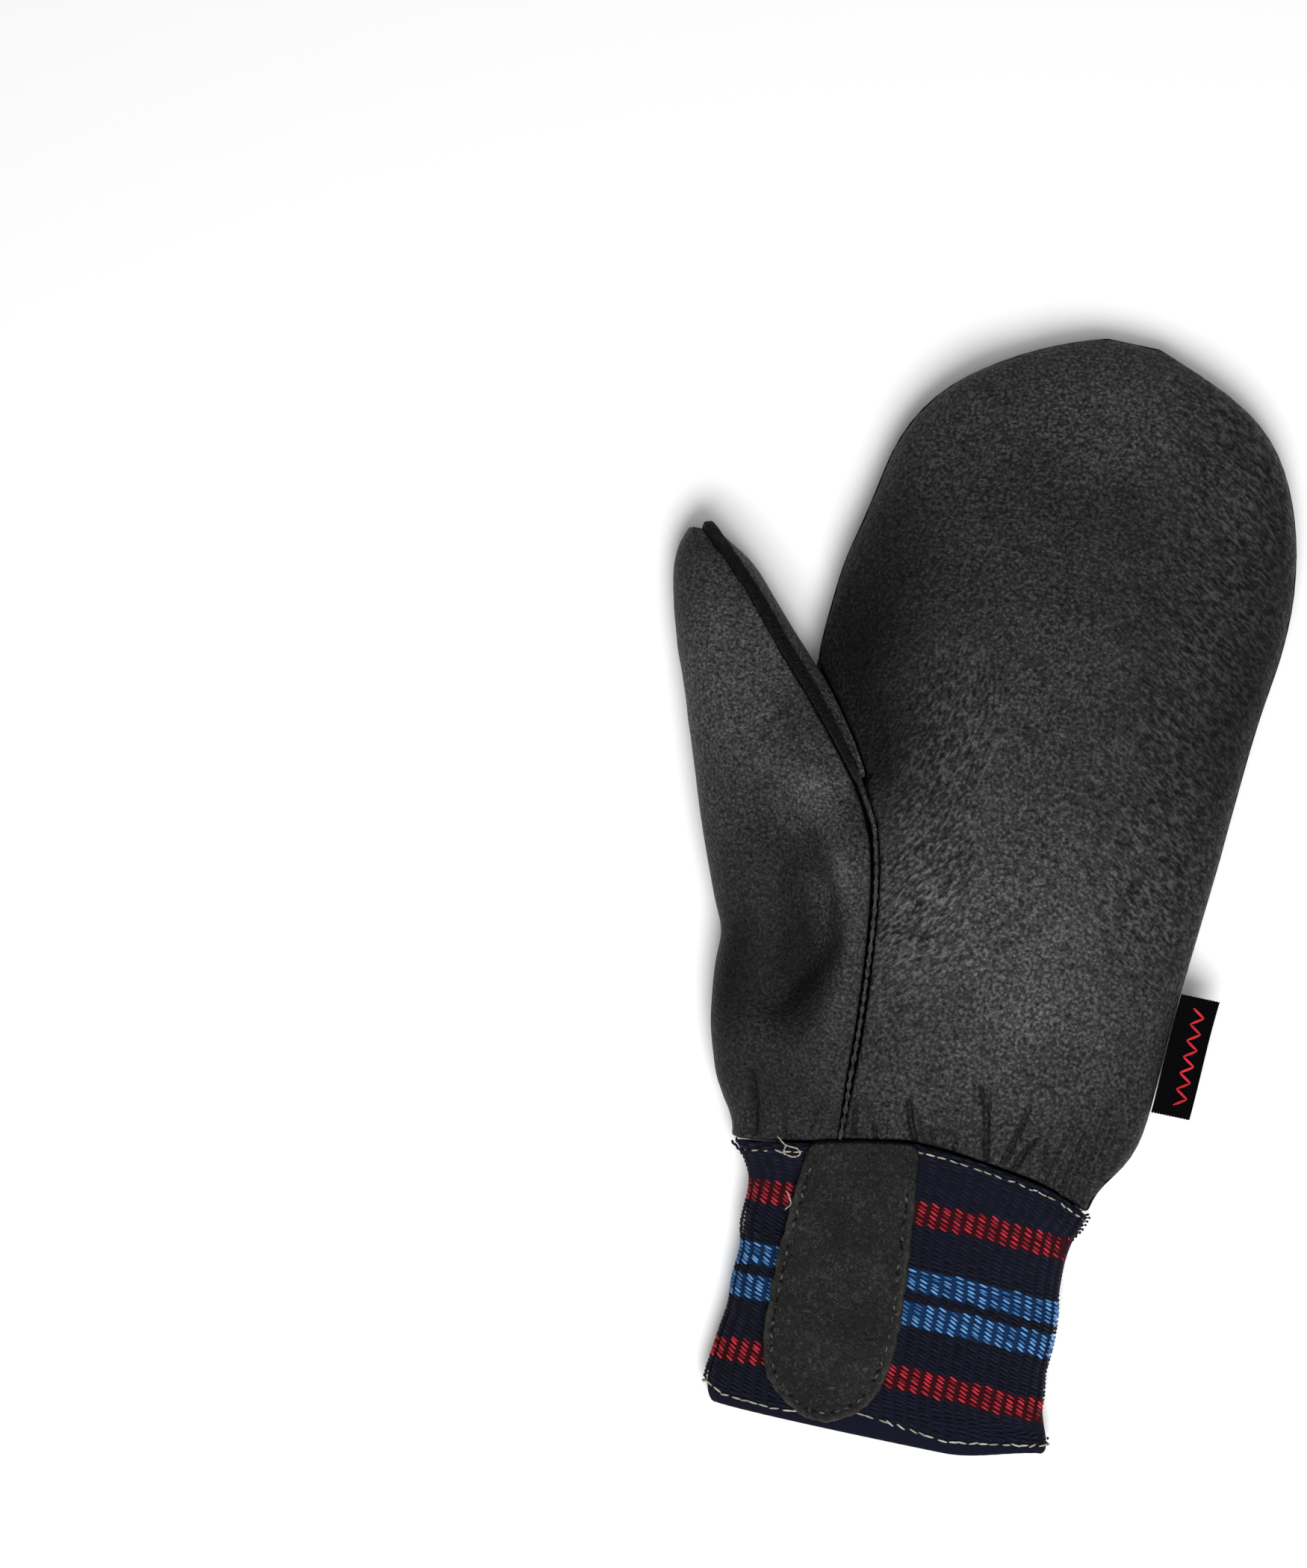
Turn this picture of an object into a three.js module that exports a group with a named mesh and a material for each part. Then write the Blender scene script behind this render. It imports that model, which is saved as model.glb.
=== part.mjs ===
// A left-hand leather mitten with a ribbed knit wrist, lying palm up on its back. Millimetres.
// +X runs away from the thumb, +Y from the wrist to the fingertips, +Z up out of the palm.
// The leather and the wrist are one skin, worked out row by row, then cut along its seams into panels.
import * as THREE from "three";

// Hand
const bodyLength = 219.5; // from the cuff seam to the fingertips
const handHalfWidth = 57; // the unit of every width of the hand
const handDepth = 35; // from the ground to the top of the palm
const leatherWall = 1.6;
const seamHeight = 0.42; // share of the depth at which palm and back meet
const tipRound = 31; // how far in from the fingertips the top rounds off
const underRound = 14; // how far in from an edge the back lies flat on the ground

// Thumb
const thumbReach = 91.6; // from the middle of the cuff to the thumb's outermost point
const thumbDepth = 32; // at the root of the thumb
const thumbForkAt = 124.5; // along the hand, where thumb and fingers part
const thumbTopAt = 150.8;
const thumbTopWidth = 8.8; // what is left of the thumb's width at its top
const gussetAt = 97; // along the hand, where the inner thumb piece starts
const gussetStep = 2; // length over which the seams part there

// Welt in the thumb seam
const weltRootWidth = 0.9;
const weltTipWidth = 2.4;
const weltProud = 1.1; // how far it stands out of the leather

// Knit wrist
const cuffLength = 67.5;
const cuffHalfWidth = 41.5;
const cuffDepth = 23;
const knitWall = 2.6;
const ribPitch = 3.1;
const ribHeight = 0.5;
const hemRise = 4.5; // how much higher the hem ends at the side away from the thumb

// Pull tab
const tabLength = 65.3; // from the cuff seam down to its end
const tabHalfWidth = 15.5;
const tabMiddle = -12.5; // across, from the middle of the cuff
const tabThickness = 3;
const tabRootThickness = 1.3; // where it is caught in the cuff seam

// Side tag
const tagLength = 31;
const tagReach = 10.2; // how far it stands out of the side seam
const tagThickness = 1;
const tagMiddleAt = 44; // along the hand

// Clearances and details
const seamGap = 0.3; // between two sewn edges
const forkGap = 0.5; // the same round the fork, where the walls turn sharply
const weltGap = 0.45; // on each side of the welt
const skived = 0.5; // share of the leather's wall that is left at the top of the thumb
const tabClearance = 0.5; // between the tab and the crests of the ribs
const joinBow = 9; // how far the cuff seam bows up over the palm
const joinBowUnder = 3; // and under the back
const gatherPitch = 6.5;
const gatherHeight = 0.7;
const gatherLength = 15; // over which the gathers above the cuff fade out

// Palm edge: `palm` is the thumb seam, then the edge on the thumb's side; `right` is the other edge.
// All across in half widths, along in body lengths, `reach` is how far in the round of the side goes.
const HAND = table(["along", "palm", "right", "reach", "depth"], [
  [0.0, -0.351, 0.816, 0.8, 0.72],
  [0.023, -0.354, 0.851, 0.84, 0.78],
  [0.046, -0.358, 0.9, 0.88, 0.83],
  [0.091, -0.368, 0.972, 0.93, 0.89],
  [0.137, -0.372, 0.988, 0.95, 0.94],
  [0.228, -0.395, 0.998, 0.97, 0.98],
  [0.319, -0.435, 1.023, 0.98, 1.0],
  [0.41, -0.53, 1.05, 0.98, 1.0],
  [0.433, -0.598, 1.056, 0.98, 1.0],
  [0.442, -0.568, 1.058, 0.98, 1.0],
  [0.474, -0.64, 1.064, 0.98, 1.0],
  [0.506, -0.72, 1.072, 0.98, 1.0],
  [0.538, -0.812, 1.08, 0.98, 0.99],
  [0.567, -0.891, 1.088, 0.99, 0.98],
  [0.601, -0.884, 1.1, 0.99, 0.97],
  [0.638, -0.876, 1.118, 0.99, 0.95],
  [0.683, -0.86, 1.139, 0.99, 0.93],
  [0.729, -0.819, 1.146, 0.98, 0.9],
  [0.774, -0.785, 1.13, 0.95, 0.87],
  [0.82, -0.756, 1.095, 0.92, 0.83],
  [0.866, -0.686, 1.033, 0.86, 0.78],
  [0.911, -0.553, 0.939, 0.745, 0.7],
  [0.934, -0.439, 0.854, 0.646, 0.65],
  [0.957, -0.304, 0.733, 0.518, 0.6],
  [0.979, -0.139, 0.539, 0.338, 0.55],
  [0.993, 0.0, 0.4, 0.2, 0.52],
  [1.0, 0.09, 0.33, 0.12, 0.5],
]);

// Thumb side: `outer` in thumb reaches, `welt` as the share of the way from the hand's edge out to `outer`,
// `under` the seam below, as the share of the way in from `outer`, `back` the back panel's edge like `welt`.
const THUMB = table(["along", "outer", "welt", "under", "back", "reach", "depth"], [
  [0.0, -0.51, 0, 0.307, 0.693, 0.44, 0.78],
  [0.023, -0.549, 0, 0.29, 0.71, 0.45, 0.82],
  [0.046, -0.569, 0, 0.27, 0.73, 0.46, 0.86],
  [0.091, -0.609, 0, 0.253, 0.747, 0.48, 0.92],
  [0.137, -0.643, 0, 0.235, 0.765, 0.49, 0.96],
  [0.182, -0.655, 0, 0.22, 0.78, 0.49, 0.98],
  [0.228, -0.666, 0, 0.22, 0.78, 0.48, 1.0],
  [0.251, -0.677, 0, 0.235, 0.765, 0.46, 1.01],
  [0.273, -0.702, 0, 0.26, 0.74, 0.43, 1.02],
  [0.319, -0.748, 0, 0.31, 0.69, 0.38, 1.03],
  [0.364, -0.793, 0, 0.37, 0.63, 0.33, 1.03],
  [0.41, -0.828, 0, 0.46, 0.54, 0.28, 1.0],
  [0.433, -0.846, 0, 0.47, 0.53, 0.255, 0.98],
  [0.442, -0.854, 0.074, 0.468, 0.475, 0.245, 0.97],
  [0.474, -0.879, 0.103, 0.45, 0.35, 0.235, 0.93],
  [0.506, -0.909, 0.137, 0.43, 0.23, 0.225, 0.89],
  [0.538, -0.938, 0.175, 0.41, 0.11, 0.215, 0.85],
  [0.567, -0.96, 0.232, 0.4, 0, 0.2, 0.81],
  [0.601, -0.983, 0.245, 0.41, 0, 0.17, 0.75],
  [0.638, -1.0, 0.31, 0.42, 0, 0.135, 0.66],
  [0.661, -0.997, 0.39, 0.41, 0, 0.105, 0.61],
  [0.679, -0.985, 0.45, 0.45, 0, 0.06, 0.57],
  [0.69, -0.972, 0.46, 0.48, 0, 0.05, 0.54],
]);

// The fork: how much of the height is left in the valley between thumb and hand, above and below.
const FORK = table(["along", "above", "below"], [
  [0.37, 1, 1],
  [0.41, 0.97, 1],
  [0.442, 0.9, 0.98],
  [0.474, 0.8, 0.9],
  [0.506, 0.64, 0.76],
  [0.538, 0.42, 0.52],
  [0.567, 0, 0],
]);

// Inner edge of the thumb, from the fork to the top: share of the way across, by share of the way up.
const THUMB_INSIDE = table(["along", "across"], [
  [0, 0],
  [0.2, 0.165],
  [0.4, 0.325],
  [0.575, 0.47],
  [0.76, 0.63],
  [0.93, 0.86],
  [1, 1],
]);

// Cuff, from its seam down to the hem: shares of the cuff's length, half width and depth.
const CUFF = table(["down", "left", "right", "depth"], [
  [0.0, -1.125, 1.12, 1.09],
  [0.07, -1.0, 1.09, 1.03],
  [0.15, -0.947, 1.031, 1.0],
  [0.3, -0.955, 1.035, 0.98],
  [0.41, -0.925, 1.065, 0.98],
  [0.52, -0.935, 1.075, 0.96],
  [0.62, -0.925, 1.065, 0.95],
  [0.72, -0.945, 1.085, 0.93],
  [0.83, -0.965, 1.095, 0.9],
  [0.92, -0.978, 1.17, 0.87],
  [1.0, -0.92, 1.18, 0.84],
]);

// How far the cuff seam bows up, by the place across in cuff half widths.
const BOW = table(["across", "rise"], [
  [-1.12, 0],
  [-0.67, 0.4],
  [-0.3, 0.8],
  [0, 1],
  [0.48, 0.8],
  [0.85, 0.5],
  [1.12, 0],
]);

// Edges of the tab in half widths from its middle, by share of its length from the seam down.
const TAB = table(["down", "left", "right"], [
  [0, -0.97, 0.81],
  [0.2, -1.05, 0.95],
  [0.45, -1.09, 1.05],
  [0.65, -1.08, 1.11],
  [0.76, -1.03, 1.09],
  [0.85, -0.93, 1.01],
  [0.91, -0.76, 0.88],
  [0.96, -0.48, 0.64],
  [0.985, -0.27, 0.43],
  [1, -0.12, 0.26],
]);

// Folds of the leather: from and to a point (across in half widths, along in body lengths), how wide
// they are in half widths, and how far they rise, in hand depths.
const FOLDS = [
  { name: "crest of the thumb's heel, high", from: [-0.88, 0.446], to: [-0.67, 0.364], width: 0.1, rise: 0.05 },
  { name: "crest of the thumb's heel, middle", from: [-0.67, 0.364], to: [-0.5, 0.27], width: 0.09, rise: 0.075 },
  { name: "crest of the thumb's heel, low", from: [-0.49, 0.25], to: [-0.57, 0.137], width: 0.08, rise: 0.05 },
  { name: "hollow in the heel", from: [-0.7, 0.19], to: [-0.66, 0.27], width: 0.17, rise: -0.16 },
  { name: "valley beside the crest", from: [-0.75, 0.31], to: [-0.9, 0.38], width: 0.09, rise: -0.05 },
  { name: "pinch at the side", from: [-1.07, 0.25], to: [-0.9, 0.235], width: 0.05, rise: -0.04 },
  { name: "crease across the thumb", from: [-1.25, 0.47], to: [-0.95, 0.49], width: 0.05, rise: -0.025 },
  { name: "crease at the heel", from: [-0.8, 0.075], to: [-0.73, 0.02], width: 0.05, rise: -0.045 },
  { name: "first palm gather", from: [-0.23, 0.06], to: [-0.2, 0.02], width: 0.04, rise: -0.03 },
  { name: "second palm gather", from: [-0.09, 0.09], to: [0, 0.04], width: 0.045, rise: -0.04 },
  { name: "third palm gather", from: [0.21, 0.11], to: [0.28, 0.03], width: 0.045, rise: -0.04 },
  { name: "fourth palm gather", from: [0.4, 0.075], to: [0.42, 0.03], width: 0.04, rise: -0.03 },
  { name: "side gather", from: [0.8, 0.12], to: [0.68, 0.02], width: 0.06, rise: -0.04 },
];

function table(columns, rows) {
  return { columns, rows };
}

// A column of a table at a place of its first column, along a curve that never overshoots.
function at(chart, column, place) {
  const c = chart.columns.indexOf(column);
  const rows = chart.rows;
  if (place <= rows[0][0]) return rows[0][c];
  const last = rows.length - 1;
  if (place >= rows[last][0]) return rows[last][c];
  const slope = (i) => (rows[i + 1][c] - rows[i][c]) / (rows[i + 1][0] - rows[i][0]);
  const tangent = (i) => {
    if (i === 0) return slope(0);
    if (i === last) return slope(last - 1);
    const before = slope(i - 1);
    const after = slope(i);
    return before * after <= 0 ? 0 : (2 * before * after) / (before + after);
  };
  const i = rows.findIndex((row) => row[0] > place) - 1;
  const step = rows[i + 1][0] - rows[i][0];
  const t = (place - rows[i][0]) / step;
  const bend = (t * (1 - t)) * step;
  const straight = rows[i][c] + t * t * (3 - 2 * t) * (rows[i + 1][c] - rows[i][c]);
  return straight + bend * (tangent(i) * (1 - t) - tangent(i + 1) * t);
}

const { clamp, lerp, smoothstep } = THREE.MathUtils;

// The round of an edge: the share of the full height at a distance, where it starts at `start`.
const roundness = 2.15;
function shoulder(distance, start = 0) {
  const begin = 1 - Math.pow(1 - Math.pow(start, roundness), 1 / roundness);
  const left = 1 - clamp(begin + distance, 0, 1);
  return Math.pow(1 - Math.pow(left, roundness), 1 / roundness);
}

// The cuff and the leather share their outline at the cuff seam, and the leather leaves it from there.
const joinLeft = CUFF.rows[0][1] * cuffHalfWidth;
const joinRight = CUFF.rows[0][2] * cuffHalfWidth;
const joinDepth = CUFF.rows[0][3] * cuffDepth;
const joinRun = 0.06; // share of the body's length over which it does

// Every line of one row across the mitten at a height along it.
function rowAt(y) {
  const along = y / bodyLength;
  const leave = smoothstep(along, 0, joinRun);
  const hand = (column) => at(HAND, column, along);
  const thumb = (column) => at(THUMB, column, along);
  const below = y < thumbForkAt - 1e-6;
  const parted = y >= gussetAt - 1e-6;
  const palm = hand("palm") * handHalfWidth;
  const outer = lerp(joinLeft, thumb("outer") * thumbReach, leave);
  const up = clamp((y - thumbForkAt) / (thumbTopAt - thumbForkAt), 0, 1);
  const forkX = at(HAND, "palm", thumbForkAt / bodyLength) * handHalfWidth;
  const topX = at(THUMB, "outer", thumbTopAt / bodyLength) * thumbReach + thumbTopWidth;
  const inside = below ? palm : lerp(forkX, topX, at(THUMB_INSIDE, "across", up));
  const under = lerp(outer, inside, thumb("under"));
  const gusset = below ? lerp(palm, outer, thumb("back")) : palm;
  return {
    y,
    below,
    palm,
    outer,
    inside,
    under,
    right: lerp(joinRight, hand("right") * handHalfWidth, leave),
    welt: parted ? lerp(inside, outer, thumb("welt")) : palm,
    back: parted ? gusset : under,
    reach: hand("reach") * handHalfWidth,
    thumbReach: Math.min(thumb("reach") * thumbReach, below ? thumbReach : (inside - outer) / 2),
    above: at(FORK, "above", along),
    beneath: at(FORK, "below", along),
    handDepth: lerp(joinDepth, hand("depth") * handDepth, leave),
    thumbDepth: lerp(joinDepth, thumb("depth") * thumbDepth, leave),
    influence: 1 - smoothstep(y, thumbForkAt, thumbForkAt + handHalfWidth / 2),
  };
}

// Depth of the mitten at a place: the thumb's and the hand's depths run into each other at the fork.
function depthAt(row, x, part) {
  const onThumb = row.below ? x < row.palm : part === "thumb";
  const side = Math.abs(x - (onThumb ? row.inside : row.palm));
  const share = 0.5 * row.influence * (1 - smoothstep(side, 0, handHalfWidth / 4));
  const own = onThumb ? row.thumbDepth : row.handDepth;
  const other = onThumb ? row.handDepth : row.thumbDepth;
  return lerp(own, other, share);
}

function foldRise(x, y) {
  const place = new THREE.Vector2(x, y);
  let rise = 0;
  for (const fold of FOLDS) {
    const a = new THREE.Vector2(fold.from[0] * handHalfWidth, fold.from[1] * bodyLength);
    const b = new THREE.Vector2(fold.to[0] * handHalfWidth, fold.to[1] * bodyLength);
    const run = b.clone().sub(a);
    const t = clamp(place.clone().sub(a).dot(run) / run.lengthSq(), 0, 1);
    const spread = a.addScaledVector(run, t).distanceTo(place) / (fold.width * handHalfWidth);
    rise += fold.rise * handDepth * Math.exp(-spread * spread);
  }
  return rise;
}

function gatherRise(x, y) {
  return gatherHeight * Math.exp(-y / gatherLength) * Math.cos((2 * Math.PI * x) / gatherPitch);
}

// How much of its full height the skin has at a place, from 0 at its edges to 1. `round` limits how far
// in the rounds of the edges reach, and `valley` is what is left of the height in the fork.
function fullness(row, x, part, round, valley) {
  const thumbRound = Math.min(row.thumbReach, round);
  const handRound = Math.min(row.reach, round);
  const left = shoulder((x - row.outer) / thumbRound);
  const right = shoulder((row.right - x) / handRound);
  if (part === "thumb") {
    const own = Math.min(thumbRound, (row.inside - row.outer) / 2);
    const fork = shoulder((row.inside - x) / own, valley);
    const end = row.below ? 1 : shoulder((thumbTopAt - row.y) / underRound, 0.6);
    return left * fork * end * (row.below ? right : 1);
  }
  const half = (row.right - row.palm) / 2;
  const own = row.below ? handRound : Math.min(handRound, half);
  const fork = shoulder((x - row.palm) / own, valley);
  const far = shoulder((row.right - x) / own);
  const tip = shoulder((bodyLength - row.y) / Math.min(tipRound, round));
  return fork * far * tip * (row.below ? left : 1);
}

// The cuff seam bows up over the palm, less under the back, and the rows near it follow. At the hem the
// rows run level, apart from the rise at the side away from the thumb.
function bowed(x, y, height) {
  const rise = at(BOW, "rise", x / cuffHalfWidth) * height;
  if (y >= 0) return y + rise * (1 - smoothstep(y, 0, bodyLength / 5));
  const down = -y / cuffLength;
  const fade = 1 - 0.75 * smoothstep(down, 0, 0.25) - 0.25 * smoothstep(down, 0.74, 1);
  const corner = smoothstep(x, 0.55 * cuffHalfWidth, 1.2 * cuffHalfWidth);
  return y + rise * fade + hemRise * corner * smoothstep(down, 0.8, 1);
}

function overHand(row, x, part) {
  const depth = depthAt(row, x, part);
  const seam = seamHeight * depth;
  const share = fullness(row, x, part, thumbReach, row.above);
  const soft = Math.min(1, 1.4 * share) * (foldRise(x, row.y) + gatherRise(x, row.y));
  return new THREE.Vector3(x, bowed(x, row.y, joinBow), seam + (depth - seam) * share + soft);
}

function underHand(row, x, part) {
  const seam = seamHeight * depthAt(row, x, part);
  const edges = row.below ? { ...row, palm: row.back, inside: row.back } : row;
  const share = fullness(edges, x, part, underRound, row.beneath);
  return new THREE.Vector3(x, bowed(x, row.y, joinBowUnder), seam * (1 - share));
}

function cuffRow(y) {
  const down = -y / cuffLength;
  const join = rowAt(0);
  return {
    y,
    left: at(CUFF, "left", down) * cuffHalfWidth,
    right: at(CUFF, "right", down) * cuffHalfWidth,
    depth: at(CUFF, "depth", down) * cuffDepth,
    leftReach: join.thumbReach,
    rightReach: join.reach,
  };
}

function overCuff(row, x) {
  const share = shoulder((x - row.left) / row.leftReach) * shoulder((row.right - x) / row.rightReach);
  const height = lerp(seamHeight, 1, share) * row.depth;
  return new THREE.Vector3(x, bowed(x, row.y, joinBow), height);
}

function underCuff(row, x) {
  const share = shoulder((x - row.left) / underRound) * shoulder((row.right - x) / underRound);
  return new THREE.Vector3(x, bowed(x, row.y, joinBowUnder), seamHeight * row.depth * (1 - share));
}

// Equal steps along a path made of legs, each a surface's line from one x to another.
function stepped(legs, count) {
  const fine = 90;
  const dense = [];
  for (const leg of legs) {
    for (let i = dense.length ? 1 : 0; i <= fine; i++) {
      const ease = (1 - Math.cos((Math.PI * i) / fine)) / 2;
      dense.push(leg.line(lerp(leg.from, leg.to, ease)));
    }
  }
  const run = [0];
  for (let i = 1; i < dense.length; i++) {
    run.push(run[i - 1] + dense[i].distanceTo(dense[i - 1]));
  }
  const points = [dense[0]];
  for (let j = 1, k = 1; j < count; j++) {
    const want = (run[run.length - 1] * j) / count;
    while (run[k] < want) k++;
    points.push(dense[k - 1].clone().lerp(dense[k], (want - run[k - 1]) / (run[k] - run[k - 1])));
  }
  points.push(dense[dense.length - 1]);
  return points;
}

// Rows from the cuff seam to the fingertips, closer together at the gathers and at the tip.
function spaced(from, to, count, ease = (t) => t) {
  return Array.from({ length: count + 1 }, (_, i) => lerp(from, to, ease(i / count)));
}
const heelRows = spaced(0, gussetAt - gussetStep, 13, (t) => Math.pow(t, 1.35)).map(rowAt);
const forkRows = spaced(gussetAt, thumbForkAt, 4).map(rowAt);
const thumbRows = spaced(thumbForkAt, thumbTopAt, 5).slice(1).map(rowAt);
const tipRows = spaced(thumbTopAt, bodyLength, 11, (t) => Math.sin((Math.PI * t) / 2))
  .slice(1)
  .map(rowAt);

const over = (row, part, from, to) => ({ line: (x) => overHand(row, x, part), from, to });
const under = (row, part, from, to) => ({ line: (x) => underHand(row, x, part), from, to });

// A sheet is its points and its four-sided faces, which turn anticlockwise seen from outside.
function sheetOf(lines, flip = false, closed = false) {
  const points = lines.flat();
  const width = lines[0].length;
  const quads = [];
  for (let i = 0; i < lines.length - 1; i++) {
    for (let j = 0; j < (closed ? width : width - 1); j++) {
      const k = (j + 1) % width;
      const quad = [i * width + j, i * width + k, (i + 1) * width + k, (i + 1) * width + j];
      quads.push(flip ? quad.reverse() : quad);
    }
  }
  return { points, quads };
}

const palmColumns = 24;
const palmSheet = sheetOf(
  [...heelRows, ...forkRows, ...thumbRows, ...tipRows].map((row) =>
    stepped([over(row, "hand", row.palm, row.right)], palmColumns),
  ),
);

const backColumns = 16;
const backSheet = sheetOf(
  [...heelRows, ...forkRows, ...thumbRows, ...tipRows].map((row) =>
    stepped([under(row, "hand", row.back, row.right)], backColumns),
  ),
  true,
);

const outerColumns = 14;
const outerLines = [...heelRows, ...forkRows, ...thumbRows].map((row) =>
  stepped(
    [over(row, "thumb", row.welt, row.outer), under(row, "thumb", row.outer, row.under)],
    outerColumns,
  ),
);
const outerSheet = sheetOf(outerLines, true);

// The inner thumb piece is a band round the thumb, which parts at the fork into a strip above the hand's
// edge and a strip below it.
const stripColumns = 4;
const innerSheet = (() => {
  const band = [forkRows[forkRows.length - 1], ...thumbRows].map((row) => [
    ...stepped([over(row, "thumb", row.welt, row.inside)], stripColumns),
    ...stepped([under(row, "thumb", row.inside, row.under)], stripColumns).slice(1),
  ]);
  const upper = sheetOf(band);
  const points = [...upper.points];
  const quads = [...upper.quads];
  const strip = (lineOf, firstColumn) => {
    const lines = forkRows.slice(0, -1).map(lineOf);
    const start = points.length;
    points.push(...lines.flat());
    const place = (i, j) =>
      i < lines.length ? start + i * (stripColumns + 1) + j : firstColumn + j;
    for (let i = 0; i < lines.length; i++) {
      for (let j = 0; j < stripColumns; j++) {
        quads.push([place(i, j), place(i, j + 1), place(i + 1, j + 1), place(i + 1, j)]);
      }
    }
  };
  strip((row) => stepped([over(row, "thumb", row.welt, row.palm)], stripColumns), 0);
  strip((row) => stepped([under(row, "thumb", row.back, row.under)], stripColumns), stripColumns);
  return { points, quads };
})();

// The outward direction of a skin at each corner, from all the faces of all sheets that meet there.
const placeOf = (p) => [p.x, p.y, p.z].map((v) => Math.round(v * 1000)).join();
function facing(sheets) {
  const sums = new Map();
  for (const { points, quads } of sheets) {
    for (const [a, b, c, d] of quads) {
      const across = points[c].clone().sub(points[a]);
      const normal = across.cross(points[d].clone().sub(points[b]));
      for (const corner of [a, b, c, d]) {
        const place = placeOf(points[corner]);
        if (!sums.has(place)) sums.set(place, new THREE.Vector3());
        sums.get(place).add(normal);
      }
    }
  }
  return (p) => sums.get(placeOf(p)).clone().normalize();
}

// The same at every point of one sheet. Lines at the cuff seam and the hem face straight out and not along
// the mitten, and the line at the fingertips faces level, so that two edges lie face to face there. `without` names the direction that is left out at a point.
function normalsOf(sheet, face, without) {
  return sheet.points.map((p, i) => {
    const normal = face(p);
    const axis = without(i);
    if (axis) normal[axis] = 0;
    return normal.normalize();
  });
}

// Edges that only one face of a sheet uses, in the order in which that face runs.
function rimOf(quads) {
  const used = new Map();
  for (const quad of quads) {
    quad.forEach((a, k) => used.set(a + ">" + quad[(k + 1) % 4], [a, quad[(k + 1) % 4]]));
  }
  return [...used.values()].filter(([a, b]) => !used.has(b + ">" + a));
}

// How far each rim point is drawn back along the sheet, so that the seams at both of its edges are clear.
function drawnBack({ points, quads }, normals, gapAt) {
  const pulls = new Map();
  for (const [a, b] of rimOf(quads)) {
    const along = points[b].clone().sub(points[a]);
    const inward = normals[a].clone().add(normals[b]).cross(along).normalize();
    const gap = gapAt(points[a], points[b]);
    for (const i of [a, b]) pulls.set(i, [...(pulls.get(i) ?? []), { inward, gap }]);
  }
  const back = points.map(() => new THREE.Vector3());
  for (const [i, [one, two]] of pulls) {
    const turn = one.inward.dot(two.inward);
    const rest = 1 - turn * turn;
    if (rest < 0.1) {
      back[i].addVectors(one.inward, two.inward).normalize().multiplyScalar(Math.max(one.gap, two.gap));
    } else {
      back[i].addScaledVector(one.inward, (one.gap - turn * two.gap) / rest);
      back[i].addScaledVector(two.inward, (two.gap - turn * one.gap) / rest);
    }
  }
  return back;
}

// A closed wall: the sheet outside, its copy inside, and the edges between them.
function walled(sheet, normals, wallAt, gapAt) {
  const back = drawnBack(sheet, normals, gapAt);
  const outside = sheet.points.map((p, i) => p.clone().add(back[i]));
  const inside = outside.map((p, i) => p.clone().addScaledVector(normals[i], -wallAt(i)));
  const corners = [];
  const face = (a, b, c, d) => corners.push(a, b, c, a, c, d);
  for (const [a, b, c, d] of sheet.quads) {
    face(outside[a], outside[b], outside[c], outside[d]);
    face(inside[d], inside[c], inside[b], inside[a]);
  }
  for (const [a, b] of rimOf(sheet.quads)) {
    face(outside[b], outside[a], inside[a], inside[b]);
  }
  const geometry = new THREE.BufferGeometry().setFromPoints(corners);
  geometry.computeVertexNormals();
  return geometry;
}

// Leather panels. At the thumb seam the welt stands between the two edges.
const leatherFacing = facing([palmSheet, backSheet, outerSheet, innerSheet]);
const weltPlaces = new Set(outerLines.map((line) => placeOf(line[0])));
function weltWidthAt(y) {
  return lerp(weltRootWidth, weltTipWidth, smoothstep(y, 0.8 * gussetAt, thumbForkAt));
}
function leatherGap(a, b) {
  const atWelt = weltPlaces.has(placeOf(a)) && weltPlaces.has(placeOf(b));
  if (atWelt) return weltWidthAt((a.y + b.y) / 2) / 2 + weltGap;
  const atFork = Math.max(a.y, b.y) > gussetAt - 1 && Math.max(a.y, b.y) < thumbForkAt + 1;
  return (atFork ? forkGap : seamGap) / 2;
}
// The leather is pared thinner where the seams crowd at the top of the thumb.
function isOnThumb(p) {
  return p.x < at(HAND, "palm", thumbForkAt / bodyLength) * handHalfWidth - 1;
}
function wallAt(p) {
  const pared = isOnThumb(p) ? smoothstep(p.y, 0.92 * thumbTopAt, 0.99 * thumbTopAt) : 0;
  return leatherWall * lerp(1, skived, pared);
}
function leatherPanel(sheet, columns) {
  const without = (i) => {
    const p = sheet.points[i];
    if (p.y > bodyLength - 1e-6) return "z";
    return i <= columns ? "y" : null;
  };
  const normals = normalsOf(sheet, leatherFacing, without);
  return walled(sheet, normals, (i) => wallAt(sheet.points[i]), leatherGap);
}

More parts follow.
